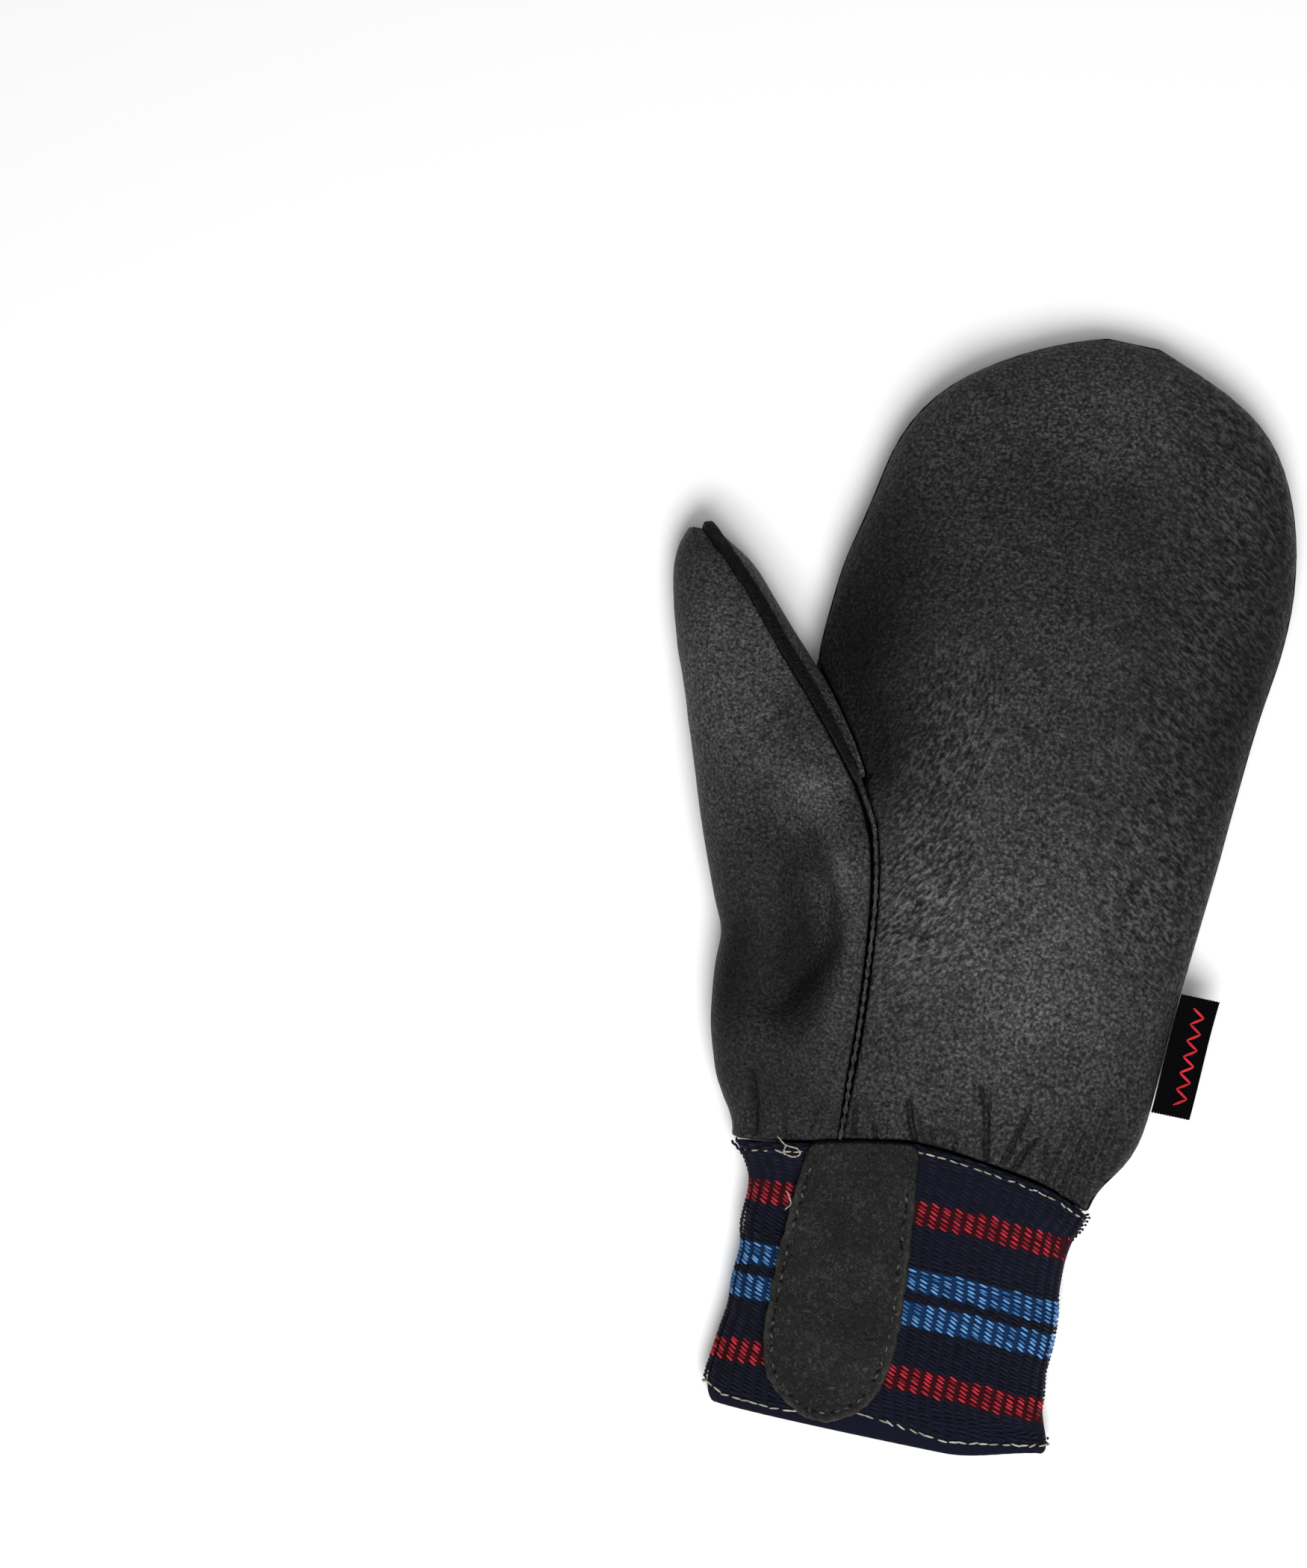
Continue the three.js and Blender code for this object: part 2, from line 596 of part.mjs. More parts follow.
// Welt: a strip on edge in the thumb seam, from the cuff seam to the top of the thumb.
const weltGeometry = (() => {
  const line = outerLines.map((points) => points[0]);
  const last = line.length - 1;
  const sections = line.map((p, i) => {
    const along = line[Math.min(i + 1, last)].clone().sub(line[Math.max(i - 1, 0)]).normalize();
    const out = leatherFacing(p);
    if (i === 0) out.setY(0).normalize();
    const side = along.clone().cross(out).normalize();
    const middle = p.clone();
    if (i === 0) middle.y += seamGap / 2;
    if (i === last) middle.addScaledVector(along, weltProud);
    const half = weltWidthAt(p.y) / 2;
    const foot = wallAt(p);
    return [
      [-half, -foot],
      [half, -foot],
      [half, weltProud],
      [-half, weltProud],
    ].map(([aside, up]) => middle.clone().addScaledVector(side, aside).addScaledVector(out, up));
  });
  const corners = [];
  const face = (a, b, c, d) => corners.push(a, b, c, a, c, d);
  for (let i = 0; i < last; i++) {
    for (let k = 0; k < 4; k++) {
      const m = (k + 1) % 4;
      face(sections[i][k], sections[i + 1][k], sections[i + 1][m], sections[i][m]);
    }
  }
  face(...sections[0]);
  face(...sections[last].slice().reverse());
  const geometry = new THREE.BufferGeometry().setFromPoints(corners);
  geometry.computeVertexNormals();
  return geometry;
})();

// Knit cuff: each rib is one crest and one hollow, pressed flat where the cuff lies on the ground.
const cuffLines = [1, 0.92, 0.78, 0.6, 0.4, 0.2, 0.08, 0].map((down) => {
  const row = cuffRow(-down * cuffLength);
  return [
    { line: (x) => overCuff(row, x), from: row.left, to: row.right },
    { line: (x) => underCuff(row, x), from: row.right, to: row.left },
  ];
});
const lengthOf = (points) => points.slice(1).reduce((sum, p, i) => sum + p.distanceTo(points[i]), 0);
const cuffGirth = lengthOf(stepped(cuffLines[3], 200));
const cuffColumns = 2 * Math.round(cuffGirth / ribPitch);
const cuffSheet = sheetOf(cuffLines.map((legs) => stepped(legs, cuffColumns).slice(0, -1)), false, true);
const cuffEnd = cuffSheet.points.length - cuffColumns;
const cuffNormals = normalsOf(cuffSheet, facing([cuffSheet]), (i) => (i < cuffColumns || i >= cuffEnd ? "y" : null));
const ribbedSheet = {
  quads: cuffSheet.quads,
  points: cuffSheet.points.map((p, i) => {
    const out = i % 2 ? ribHeight / 2 : -ribHeight / 2;
    const point = p.clone().addScaledVector(cuffNormals[i], out);
    point.z = Math.max(point.z, 0);
    return point;
  }),
};

// Pull tab: lies on the ribs, thinner where it is caught in the cuff seam.
const tabColumns = 6;
const tabRows = [0, 0.06, 0.14, 0.24, 0.36, 0.48, 0.6, 0.7, 0.79, 0.86, 0.91, 0.95, 0.98, 1];
const tabThicknessAt = (down) => lerp(tabRootThickness, tabThickness, smoothstep(down, 0, 0.16));
const tabSheet = sheetOf(
  tabRows.map((down) => {
    const row = cuffRow(-lerp(1.5 * seamGap, tabLength, down));
    const left = tabMiddle + at(TAB, "left", down) * tabHalfWidth;
    const right = tabMiddle + at(TAB, "right", down) * tabHalfWidth;
    return spaced(left, right, tabColumns).map((x) => {
      const point = overCuff(row, x);
      point.z += ribHeight / 2 + tabClearance + tabThicknessAt(down);
      return point;
    });
  }).reverse(),
);
const tabWalls = [...tabRows].reverse().flatMap((down) => Array(tabColumns + 1).fill(tabThicknessAt(down)));

// Side tag: a flat strip that stands out of the side seam.
const tagSheet = sheetOf(
  spaced(tagMiddleAt - tagLength / 2, tagMiddleAt + tagLength / 2, 8).map((y) => {
    const row = rowAt(y);
    const seam = overHand(row, row.right, "hand");
    return [seamGap, tagReach / 2, tagReach].map(
      (out) => new THREE.Vector3(seam.x + out, seam.y, seam.z + tagThickness / 2),
    );
  }),
);

const flat = (sheet) => sheet.points.map(() => new THREE.Vector3(0, 0, 1));
const leather = (color) => new THREE.MeshStandardMaterial({ color, roughness: 0.62, metalness: 0 });
const cloth = (color) => new THREE.MeshStandardMaterial({ color, roughness: 0.95, metalness: 0 });

const pieces = [
  ["palm_panel", leatherPanel(palmSheet, palmColumns), leather("#3a3a3a")],
  ["back_panel", leatherPanel(backSheet, backColumns), leather("#333333")],
  ["thumb_outer", leatherPanel(outerSheet, outerColumns), leather("#3a3a3a")],
  ["thumb_inner", leatherPanel(innerSheet, -1), leather("#343434")],
  ["thumb_welt", weltGeometry, leather("#1f1f1f")],
  ["knit_cuff", walled(ribbedSheet, cuffNormals, () => knitWall, cuffGap), cloth("#1b1c30")],
  ["pull_tab", walled(tabSheet, flat(tabSheet), (i) => tabWalls[i], () => 0), leather("#3c3b3a")],
  ["side_tag", walled(tagSheet, flat(tagSheet), () => tagThickness, () => 0), cloth("#0b0b0d")],
];

// The hem of the cuff is free, and its other end is sewn to the leather.
function cuffGap(a) {
  return a.y > -cuffLength / 2 ? seamGap / 2 : 0;
}

const mitten = new THREE.Group();
for (const [name, geometry, material] of pieces) {
  const mesh = new THREE.Mesh(geometry, material);
  mesh.name = name;
  mitten.add(mesh);
}

// The origin lies on the ground under the middle of the mitten.
const middle = new THREE.Box3().setFromObject(mitten).getCenter(new THREE.Vector3());
mitten.position.set(-middle.x, -middle.y, 0);

export default mitten;
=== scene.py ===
# A left-hand leather mitten with a striped, ribbed knit wrist, lying palm up: how it looks.
from math import pi, radians

import bpy
import numpy as np
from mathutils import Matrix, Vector, noise
from mathutils.kdtree import KDTree


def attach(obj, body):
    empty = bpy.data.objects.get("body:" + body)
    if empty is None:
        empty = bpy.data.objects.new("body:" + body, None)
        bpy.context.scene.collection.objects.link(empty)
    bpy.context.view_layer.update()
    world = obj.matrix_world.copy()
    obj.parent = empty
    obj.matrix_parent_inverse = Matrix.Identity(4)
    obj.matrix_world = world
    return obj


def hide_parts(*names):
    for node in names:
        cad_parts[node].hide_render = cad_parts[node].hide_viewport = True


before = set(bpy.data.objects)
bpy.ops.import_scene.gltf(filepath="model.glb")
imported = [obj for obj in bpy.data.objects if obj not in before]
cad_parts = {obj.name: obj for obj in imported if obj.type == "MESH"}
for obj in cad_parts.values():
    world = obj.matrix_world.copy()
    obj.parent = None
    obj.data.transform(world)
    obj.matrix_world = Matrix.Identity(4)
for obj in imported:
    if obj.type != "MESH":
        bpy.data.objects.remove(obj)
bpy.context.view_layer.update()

# The maker's millimetres start at the middle of the wrist seam, on the ground: +X away from the thumb,
# +Y to the fingertips, +Z up out of the palm. START is where that point lies in the frame.
START = np.array([11.934, -76.002, 0.0])
FLOOR_GAP = 0.02  # how far every strand stays above the ground
chance = np.random.default_rng(11)


# Objects

def deselect():
    if bpy.context.object and bpy.context.object.mode != "OBJECT":
        bpy.ops.object.mode_set(mode="OBJECT")
    bpy.ops.object.select_all(action="DESELECT")


def pick(obj):
    deselect()
    bpy.context.view_layer.objects.active = obj
    obj.select_set(True)
    return obj


def edit(obj, mode="FACE"):
    pick(obj)
    bpy.ops.object.mode_set(mode="EDIT")
    bpy.ops.mesh.select_mode(type=mode)


def points_of(obj):
    flat = np.empty(3 * len(obj.data.vertices))
    obj.data.vertices.foreach_get("co", flat)
    return flat.reshape(-1, 3) * 1000 - START


def put_points(obj, points):
    obj.data.vertices.foreach_set("co", ((points + START) / 1000).ravel())
    obj.data.update()


def outward(obj):
    flat = np.empty(3 * len(obj.data.vertices))
    obj.data.vertex_normals.foreach_get("vector", flat)
    return flat.reshape(-1, 3)


def measure_onto(obj, name, values):
    """A number at every corner, for the material to read."""
    mark = obj.data.attributes.new(name, "FLOAT", "POINT")
    mark.data.foreach_set("value", np.asarray(values, dtype=np.float32))


def modify(obj, kind, **settings):
    pick(obj)
    made = obj.modifiers.new(kind.lower(), kind)
    for name, value in settings.items():
        setattr(made, name, value)
    bpy.ops.object.modifier_apply(modifier=made.name)
    return obj


def subdivide(obj, levels, kind="CATMULL_CLARK"):
    return modify(obj, "SUBSURF", levels=levels, render_levels=levels, subdivision_type=kind)


def copy_of(node, name):
    """A copy of a CAD node with its loose triangles sewn together and made four-sided again."""
    pick(bpy.data.objects[node])
    bpy.ops.object.duplicate(linked=False)
    piece = bpy.context.object
    piece.name = name
    edit(piece)
    bpy.ops.mesh.select_all(action="SELECT")
    bpy.ops.mesh.remove_doubles(threshold=0.00002)
    bpy.ops.mesh.tris_convert_to_quads(face_threshold=radians(170), shape_threshold=radians(170))
    deselect()
    piece.data.materials.clear()
    return piece


def sheet_of(piece, seed, keep=True):
    """Only the sheet of a wall that a point is nearest to is kept, or all but that sheet."""
    edit(piece)
    bpy.ops.mesh.select_all(action="DESELECT")
    bpy.ops.object.mode_set(mode="OBJECT")
    seed = Vector((np.array(seed) + START) / 1000)
    nearest = min(piece.data.polygons, key=lambda face: (face.center - seed).length)
    nearest.select = True
    bpy.ops.object.mode_set(mode="EDIT")
    bpy.ops.mesh.faces_select_linked_flat(sharpness=radians(48))
    if keep:
        bpy.ops.mesh.select_all(action="INVERT")
    bpy.ops.mesh.delete(type="FACE")
    deselect()
    return piece


def sown(template, places, turns, name):
    """Copies of a small shape at many places, as one mesh. Each turn has, as its columns, the directions
    that the shape's own axes take. The shape itself goes."""
    shape = np.array([v.co for v in template.data.vertices]) * 1000
    faces = [np.array(face.vertices) for face in template.data.polygons]
    spread = np.einsum("kij,vj->kvi", turns, shape) + np.asarray(places)[:, None, :]
    spread[..., 2] = np.maximum(spread[..., 2], FLOOR_GAP)
    rows = [(face + k * len(shape)).tolist() for k in range(len(spread)) for face in faces]
    mesh = bpy.data.meshes.new(name)
    mesh.from_pydata(((spread.reshape(-1, 3) + START) / 1000).tolist(), [], rows)
    mesh.update()
    piece = bpy.data.objects.new(name, mesh)
    bpy.context.scene.collection.objects.link(piece)
    bpy.data.objects.remove(template)
    pick(piece)
    bpy.ops.object.shade_smooth()
    measure_onto(piece, "tone", np.repeat(chance.random(len(spread)), len(shape)))
    return piece


def turns_of(along, out):
    """Right-angled directions across, along and out, as the columns of one array each."""
    along = along / np.linalg.norm(along, axis=1, keepdims=True)
    across = np.cross(along, out)
    across /= np.linalg.norm(across, axis=1, keepdims=True)
    return np.stack([across, along, np.cross(across, along)], axis=2)


def strand(name, width, length, height, segments=6, rings=4):
    """A short piece of thread or yarn that thins to its ends, lying along +Y."""
    deselect()
    bpy.ops.mesh.primitive_uv_sphere_add(
        segments=segments, ring_count=rings, radius=0.0005, rotation=(pi / 2, 0, 0))
    piece = bpy.context.object
    bpy.ops.object.transform_apply(rotation=True)
    edit(piece)
    bpy.ops.mesh.select_all(action="SELECT")
    bpy.ops.transform.resize(value=(width, length, height))
    deselect()
    piece.name = name
    return piece


# Finishes

def linear(hex_colour):
    parts = [int(hex_colour[i:i + 2], 16) / 255 for i in (1, 3, 5)]
    return tuple(c / 12.92 if c <= 0.04045 else ((c + 0.055) / 1.055) ** 2.4 for c in parts) + (1,)


def add(tree, kind, inputs=(), stops=(), **settings):
    """A node with its settings, then its sockets: a colour as hex, a number, or another node's output.
    A colour ramp also takes its stops, each a place and a colour."""
    made = tree.nodes.new("ShaderNode" + kind)
    for name, value in settings.items():
        setattr(made, name, value)
    for name, value in dict(inputs).items():
        if isinstance(value, bpy.types.NodeSocket):
            tree.links.new(value, made.inputs[name])
        else:
            made.inputs[name].default_value = linear(value) if isinstance(value, str) else value
    for _ in stops[2:]:
        made.color_ramp.elements.new(0.99)
    for i, (place, colour) in enumerate(stops):
        made.color_ramp.elements[i].position = place
        made.color_ramp.elements[i].color = linear(colour)
    return made


def finish(name, **surface):
    """An empty material with its shader. Numbers that are the same all over go straight onto the shader."""
    material = bpy.data.materials.new(name)
    material.use_nodes = True
    tree = material.node_tree
    shader = tree.nodes["Principled BSDF"]
    for socket, value in surface.items():
        shader.inputs[socket.replace("_", " ")].default_value = value
    return material, tree, shader


def full_grain(name, dark, middle, light, pit_mm=0.95, lines=True):
    """Full-grain sheepskin, drum-dyed through and tumbled soft: low rounded pebbles with fine dark creases
    and pits between them, which run in lines where the hide was stretched, a dull shine and tops scuffed
    lighter. Its colour is multiplied by a mark of wear and painted light: painted highlights on crests and
    painted shade in hollows, valleys and creases."""
    material, tree, shader = finish(name, Specular_IOR_Level=0.14)
    place = add(tree, "TexCoord").outputs["Object"]
    drift = add(tree, "TexNoise", {"Vector": place, "Scale": 1000 / 3.5, "Detail": 2})
    bent = add(tree, "MixRGB", {"Fac": 0.0012, "Color1": place, "Color2": drift.outputs["Color"]},
               blend_type="ADD")
    pebbles = add(tree, "TexVoronoi", {"Vector": bent.outputs[0], "Scale": 1000 / 0.95, "Smoothness": 0.3},
                  feature="SMOOTH_F1")
    domes = add(tree, "MapRange", {"Value": pebbles.outputs["Distance"], "From Min": 0.75, "From Max": 0.1})
    pits = add(tree, "TexNoise", {"Vector": place, "Scale": 1000 / pit_mm, "Detail": 3, "Roughness": 0.62})
    grain = pits.outputs["Fac"]
    if lines:
        flow = add(tree, "Attribute", attribute_name="flow").outputs["Vector"]
        pulled = add(tree, "TexNoise", {"Vector": flow, "Scale": 1 / 0.85, "Detail": 3, "Roughness": 0.6})
        creased = add(tree, "MapRange", {"Value": pulled.outputs["Fac"], "From Min": 0.3, "From Max": 0.7,
                                         "To Min": 0.13, "To Max": 0.85})
        share = add(tree, "Attribute", attribute_name="pull").outputs["Fac"]
        mixed = add(tree, "MixRGB", {"Fac": share, "Color1": grain, "Color2": creased.outputs[0]})
        grain = mixed.outputs[0]
    height = add(tree, "Math", {0: domes.outputs[0], 1: 0.2, 2: grain}, operation="MULTIPLY_ADD")
    steep = add(tree, "MapRange", {"Value": height.outputs[0], "From Min": 0.33, "From Max": 0.8}).outputs[0]
    patches = add(tree, "TexNoise", {"Vector": place, "Scale": 1000 / 18, "Detail": 3, "Roughness": 0.6})
    level = add(tree, "Math", {0: patches.outputs["Fac"], 1: 0.3, 2: steep}, operation="MULTIPLY_ADD")
    even = add(tree, "MapRange", {"Value": level.outputs[0], "From Min": 0.15, "From Max": 1.15})
    body = add(tree, "ValToRGB", {"Fac": even.outputs[0]}, ((0.0, dark), (0.5, middle), (1.0, light)))
    # The colour is multiplied by a mark of wear with painted highlights and painted shade in it.
    painted_light_and_wear = add(tree, "Attribute", attribute_name="painted_light_and_wear")
    with_painted_light_and_wear = add(tree, "MixRGB", {"Fac": 1.0, "Color1": body.outputs["Color"], "Color2": painted_light_and_wear.outputs["Fac"]},
               blend_type="MULTIPLY")
    tree.links.new(with_painted_light_and_wear.outputs[0], shader.inputs["Base Color"])
    dull = add(tree, "MapRange", {"Value": steep, "To Min": 0.7, "To Max": 0.5})
    tree.links.new(dull.outputs[0], shader.inputs["Roughness"])
    bump = add(tree, "Bump", {"Height": steep, "Distance": 0.0006, "Strength": 0.6})
    tree.links.new(bump.outputs[0], shader.inputs["Normal"])
    return material


palm_leather = full_grain("full-grain sheepskin, palm", "#060606", "#2d2d2d", "#545454")
back_leather = full_grain("full-grain sheepskin, back", "#070707", "#242424", "#3e3e3e", 1.0, False)
thumb_leather = full_grain("full-grain sheepskin, thumb", "#0a0a0a", "#303030", "#525252", 0.75, False)
welt_leather = full_grain("full-grain sheepskin, welt", "#0a0a0a", "#303030", "#4c4c4c", 0.75, False)


def split_leather():
    """Split cowhide, dyed and rolled flat: no grain but a short matted nap of curling fibres, scuffed pale
    in patches and along its edges."""
    material, tree, shader = finish("split cowhide", Specular_IOR_Level=0.12, Roughness=0.75)
    place = add(tree, "TexCoord").outputs["Object"]
    nap = add(tree, "TexNoise", {"Vector": place, "Scale": 1000 / 1.1, "Detail": 3, "Roughness": 0.65,
                                 "Distortion": 1.6}).outputs["Fac"]
    mottle = add(tree, "TexNoise", {"Vector": place, "Scale": 1000 / 11, "Detail": 4, "Roughness": 0.6})
    level = add(tree, "Math", {0: mottle.outputs["Fac"], 1: 0.3, 2: nap}, operation="MULTIPLY_ADD")
    even = add(tree, "MapRange", {"Value": level.outputs[0], "From Min": 0.4, "From Max": 0.95})
    body = add(tree, "ValToRGB", {"Fac": even.outputs[0]},
               ((0.0, "#080808"), (0.5, "#1d1d1d"), (1.0, "#424241")))
    rim = add(tree, "Attribute", attribute_name="rim").outputs["Fac"]
    fray = add(tree, "Math", {0: rim, 1: nap}, operation="MULTIPLY")
    colour = add(tree, "MixRGB", {"Fac": fray.outputs[0], "Color1": body.outputs["Color"],
                                  "Color2": "#5c5a52"})
    tree.links.new(colour.outputs[0], shader.inputs["Base Color"])
    bump = add(tree, "Bump", {"Height": nap, "Distance": 0.0008, "Strength": 0.7})
    tree.links.new(bump.outputs[0], shader.inputs["Normal"])
    return material


tab_leather = split_leather()


def yarn(name, dark, light, shine=0.06):
    """Spun yarn or thread: no gloss but a soft halo of fibres at a grazing angle, each loop a shade apart."""
    material, tree, shader = finish(name, Roughness=0.9, Specular_IOR_Level=0.15, Sheen_Weight=shine,
                                    Sheen_Roughness=0.4)
    place = add(tree, "TexCoord").outputs["Object"]
    tone = add(tree, "Attribute", attribute_name="tone").outputs["Fac"]
    plies = add(tree, "TexNoise", {"Vector": place, "Scale": 1000 / 0.35, "Detail": 2}).outputs["Fac"]
    level = add(tree, "MixRGB", {"Fac": 0.5, "Color1": tone, "Color2": plies})
    dyed = add(tree, "ValToRGB", {"Fac": level.outputs[0]}, ((0.25, dark), (0.75, light)))
    tree.links.new(dyed.outputs["Color"], shader.inputs["Base Color"])
    bump = add(tree, "Bump", {"Height": plies, "Distance": 0.0002, "Strength": 0.5})
    tree.links.new(bump.outputs[0], shader.inputs["Normal"])
    return material


navy_yarn = yarn("navy acrylic yarn", "#07080f", "#151729")
red_yarn = yarn("dark red acrylic yarn", "#64121c", "#bf2c3b")
blue_yarn = yarn("light blue acrylic yarn", "#20497a", "#6299cf")
cream_thread = yarn("cream cotton thread", "#7c786b", "#b6b1a3", 0.05)
# Painted shadow: near-black strands that stand for the shade in the tab's needle holes.
hole_shadow_black = yarn("painted shadow in needle holes", "#030303", "#0a0a0a", 0.0)
grey_thread = yarn("waxed grey thread", "#2f2e2b", "#57544e", 0.05)
red_thread = yarn("red embroidery thread", "#a81522", "#d42a38", 0.1)


def base_knit(stripes):
    """The hollows between the ribs, where the purl loops lie: the same yarn colours, darkened as painted
    shade for the shade of the ribs.
    """
    material, tree, shader = finish("knit ground", Roughness=0.95, Specular_IOR_Level=0.1)
    course = add(tree, "Attribute", attribute_name="course").outputs["Fac"]
    place = add(tree, "TexCoord").outputs["Object"]
    loops = add(tree, "TexNoise", {"Vector": place, "Scale": 1000 / 0.8, "Detail": 2})
    striped = add(tree, "ValToRGB", {"Fac": course}, stripes)
    striped.color_ramp.interpolation = "CONSTANT"
    # Painted shade: the stripe colour is mixed towards near black.
    painted_shade = add(tree, "MixRGB", {"Fac": 0.4, "Color1": striped.outputs[0], "Color2": "#04050b"})
    tree.links.new(painted_shade.outputs[0], shader.inputs["Base Color"])
    bump = add(tree, "Bump", {"Height": loops.outputs["Fac"], "Distance": 0.0003, "Strength": 0.7})
    tree.links.new(bump.outputs[0], shader.inputs["Normal"])
    return material


def woven_tape():
    """Polyester tape, woven black: fine cross ribs, and so tight that it hardly shines."""
    material, tree, shader = finish("woven polyester tape", Roughness=0.8, Specular_IOR_Level=0.04)
    place = add(tree, "TexCoord").outputs["Object"]
    threads = []
    for pitch, way in ((0.45, "Y"), (0.6, "X")):
        wave = add(tree, "TexWave", {"Vector": place, "Scale": 1000 / (pitch * 2 * pi), "Distortion": 0.4,
                                     "Detail": 1}, bands_direction=way)
        threads.append(wave.outputs["Fac"])
    weave = add(tree, "Math", {0: threads[0], 1: threads[1]}, operation="MULTIPLY").outputs[0]
    black = add(tree, "ValToRGB", {"Fac": weave}, ((0.0, "#010102"), (1.0, "#060607")))
    tree.links.new(black.outputs["Color"], shader.inputs["Base Color"])
    bump = add(tree, "Bump", {"Height": weave, "Distance": 0.00015, "Strength": 0.8})
    tree.links.new(bump.outputs[0], shader.inputs["Normal"])
    return material


tape = woven_tape()


# Leather panels

def smooth(value, low, high):
    t = np.clip((value - low) / (high - low), 0, 1)
    return t * t * (3 - 2 * t)


def relief(points, scale, seed=0.0):
    """Smooth noise from -1 to 1 at every point, with bumps of about `scale` millimetres."""
    return np.array([noise.noise(Vector(p) / scale + Vector((seed, 0, 0))) for p in points])


def edge_reach(obj):
    """How far every corner lies from the sheet's nearest edge, and where on the edge that is."""
    uses = np.zeros(len(obj.data.edges), int)
    for face in obj.data.polygons:
        for key in face.loop_indices:
            uses[obj.data.loops[key].edge_index] += 1
    rim = sorted({v for edge in obj.data.edges if uses[edge.index] == 1 for v in edge.vertices})
    points = points_of(obj)
    tree = KDTree(len(rim))
    for i in rim:
        tree.insert(points[i], i)
    tree.balance()
    found = [tree.find(p) for p in points]
    return np.array([f[2] for f in found]), np.array([f[0][:] for f in found])


def folded(points, folds):
    """Creases with soft shoulders. Each has a way of points (across, along), a half width and a depth."""
    rise = np.zeros(len(points))
    for way, width, depth in folds:
        way = np.array(way, float)
        legs = np.linalg.norm(np.diff(way, axis=0), axis=1)
        total, run = legs.sum(), 0.0
        best = np.full(len(points), 1e9)
        share = np.zeros(len(points))
        for a, b, leg in zip(way[:-1], way[1:], legs):
            t = np.clip(((points[:, :2] - a) @ (b - a)) / leg ** 2, 0, 1)
            gap = np.linalg.norm(points[:, :2] - a - t[:, None] * (b - a), axis=1)
            nearer = gap < best
            best = np.where(nearer, gap, best)
            share = np.where(nearer, (run + t * leg) / total, share)
            run += leg
        q = (best / width) ** 2
        taper = np.clip(np.sin(np.pi * np.clip(0.12 + 0.88 * share, 0, 1)) * 1.6, 0, 1)
        rise -= depth * taper * (1 - 0.9 * q) * np.exp(-q)
    return rise


def swollen(points, forms):
    """Broad crests and hollows. Each has a way of points, a half width on its left, one on its right, and
    a rise."""
    rise = np.zeros(len(points))
    for way, left, right, much in forms:
        way = np.array(way, float)
        best, sidewise = np.full(len(points), 1e9), np.ones(len(points))
        for a, b in zip(way[:-1], way[1:]):
            t = np.clip(((points[:, :2] - a) @ (b - a)) / ((b - a) ** 2).sum(), 0, 1)
            off = points[:, :2] - a - t[:, None] * (b - a)
            gap = np.linalg.norm(off, axis=1)
            turn = (b - a)[0] * off[:, 1] - (b - a)[1] * off[:, 0]
            nearer = gap < best
            aside = np.clip(turn / (np.linalg.norm(b - a) * np.maximum(gap, 1e-6)), -1, 1)
            sidewise = np.where(nearer, aside, sidewise)
            best = np.where(nearer, gap, best)
        width = right + (left - right) * (0.5 + 0.5 * sidewise)
        rise += much * np.exp(-((best / width) ** 2))
    return rise


def pull_of(points):
    """The lines of the palm's grain: arcs up its left side, about a spot past the thumb, and a slant on its
    right. Each place has how far it lies across and along its line, and how strongly the lines show."""
    x, y, z = points.T
    away = points[:, :2] - np.array([-99.0, 133.0])
    turn = np.arctan2(away[:, 1], away[:, 0])
    left = np.stack([np.linalg.norm(away, axis=1), turn * 36, z * 0.6], axis=1)
    slant = radians(-32)
    across = y * np.cos(slant) - x * np.sin(slant)
    along = x * np.cos(slant) + y * np.sin(slant)
    right = 0.96 * np.stack([across, along / 3.2, z * 0.6], axis=1)
    share_left = smooth(x, -34, -20) * (1 - smooth(x, -9, 5)) * smooth(y, 30, 62) * (1 - smooth(y, 120, 150))
    share_right = smooth(x, 6, 50) * smooth(y, 40, 85)
    flow = np.where(x[:, None] < 6, left, right + 60)
    return flow, np.where(x < 6, 0.7 * share_left, 0.8 * share_right)


# Where the leather's colour is lighter or darker: partly wear, partly painted highlights on the crests and
# the palm's lower middle and painted shade in the hollows, the valley by the fork and along the palm's right
# edge. Each has a middle (across, along), how far it reaches each way, and how much.
WEAR_AND_PAINTED_LIGHT = [
    ((14, 60), (36, 36), 1.0), ((5, 122), (24, 32), 0.3), ((8, 205), (32, 18), 0.75),
    ((-14, 70), (8, 25), 0.3), ((-38, 128), (13, 38), -0.38), ((-31, 98), (9, 14), -0.4),
    ((62, 130), (14, 45), -0.3), ((45, 180), (16, 20), 0.1), ((-30, 185), (14, 18), 0.25),
    ((-76, 114), (14, 30), 0.9), ((-60, 124), (7, 24), 0.6), ((-65, 94), (8, 12), 0.22),
    ((-44, 92), (9, 12), 1.4), ((-33, 70), (5, 11), 0.95), ((-27.5, 52), (3.5, 22), 0.15),
    ((-39, 50), (7, 16), -0.56), ((-45, 76), (5, 9), -0.34), ((-56, 40), (9, 20), -0.4),
    ((-40, 16), (12, 8), -0.15),
]
WEAR_AND_PAINTED_LIGHT_ELSEWHERE = 0.47
WEAR_AND_PAINTED_LIGHT_LEAST = 0.1


def wear_and_painted_light_of(points, even=None):
    """How much of its colour the leather shows at every point, as wear and painted light and shade: nearly
    the same all over, or by the table.
    """
    if even:
        return even * (1 + 0.3 * relief(points, 9, 21))
    # Painted highlights and painted shade from the table, with wear, on a base level.
    with_painted_light_and_wear = np.full(len(points), WEAR_AND_PAINTED_LIGHT_ELSEWHERE)
    for middle, reach, much in WEAR_AND_PAINTED_LIGHT:
        with_painted_light_and_wear += much * np.exp(-(((points[:, :2] - middle) / reach) ** 2).sum(axis=1))
    return np.maximum(with_painted_light_and_wear, WEAR_AND_PAINTED_LIGHT_LEAST) * (1 + 0.2 * relief(points, 14, 21))


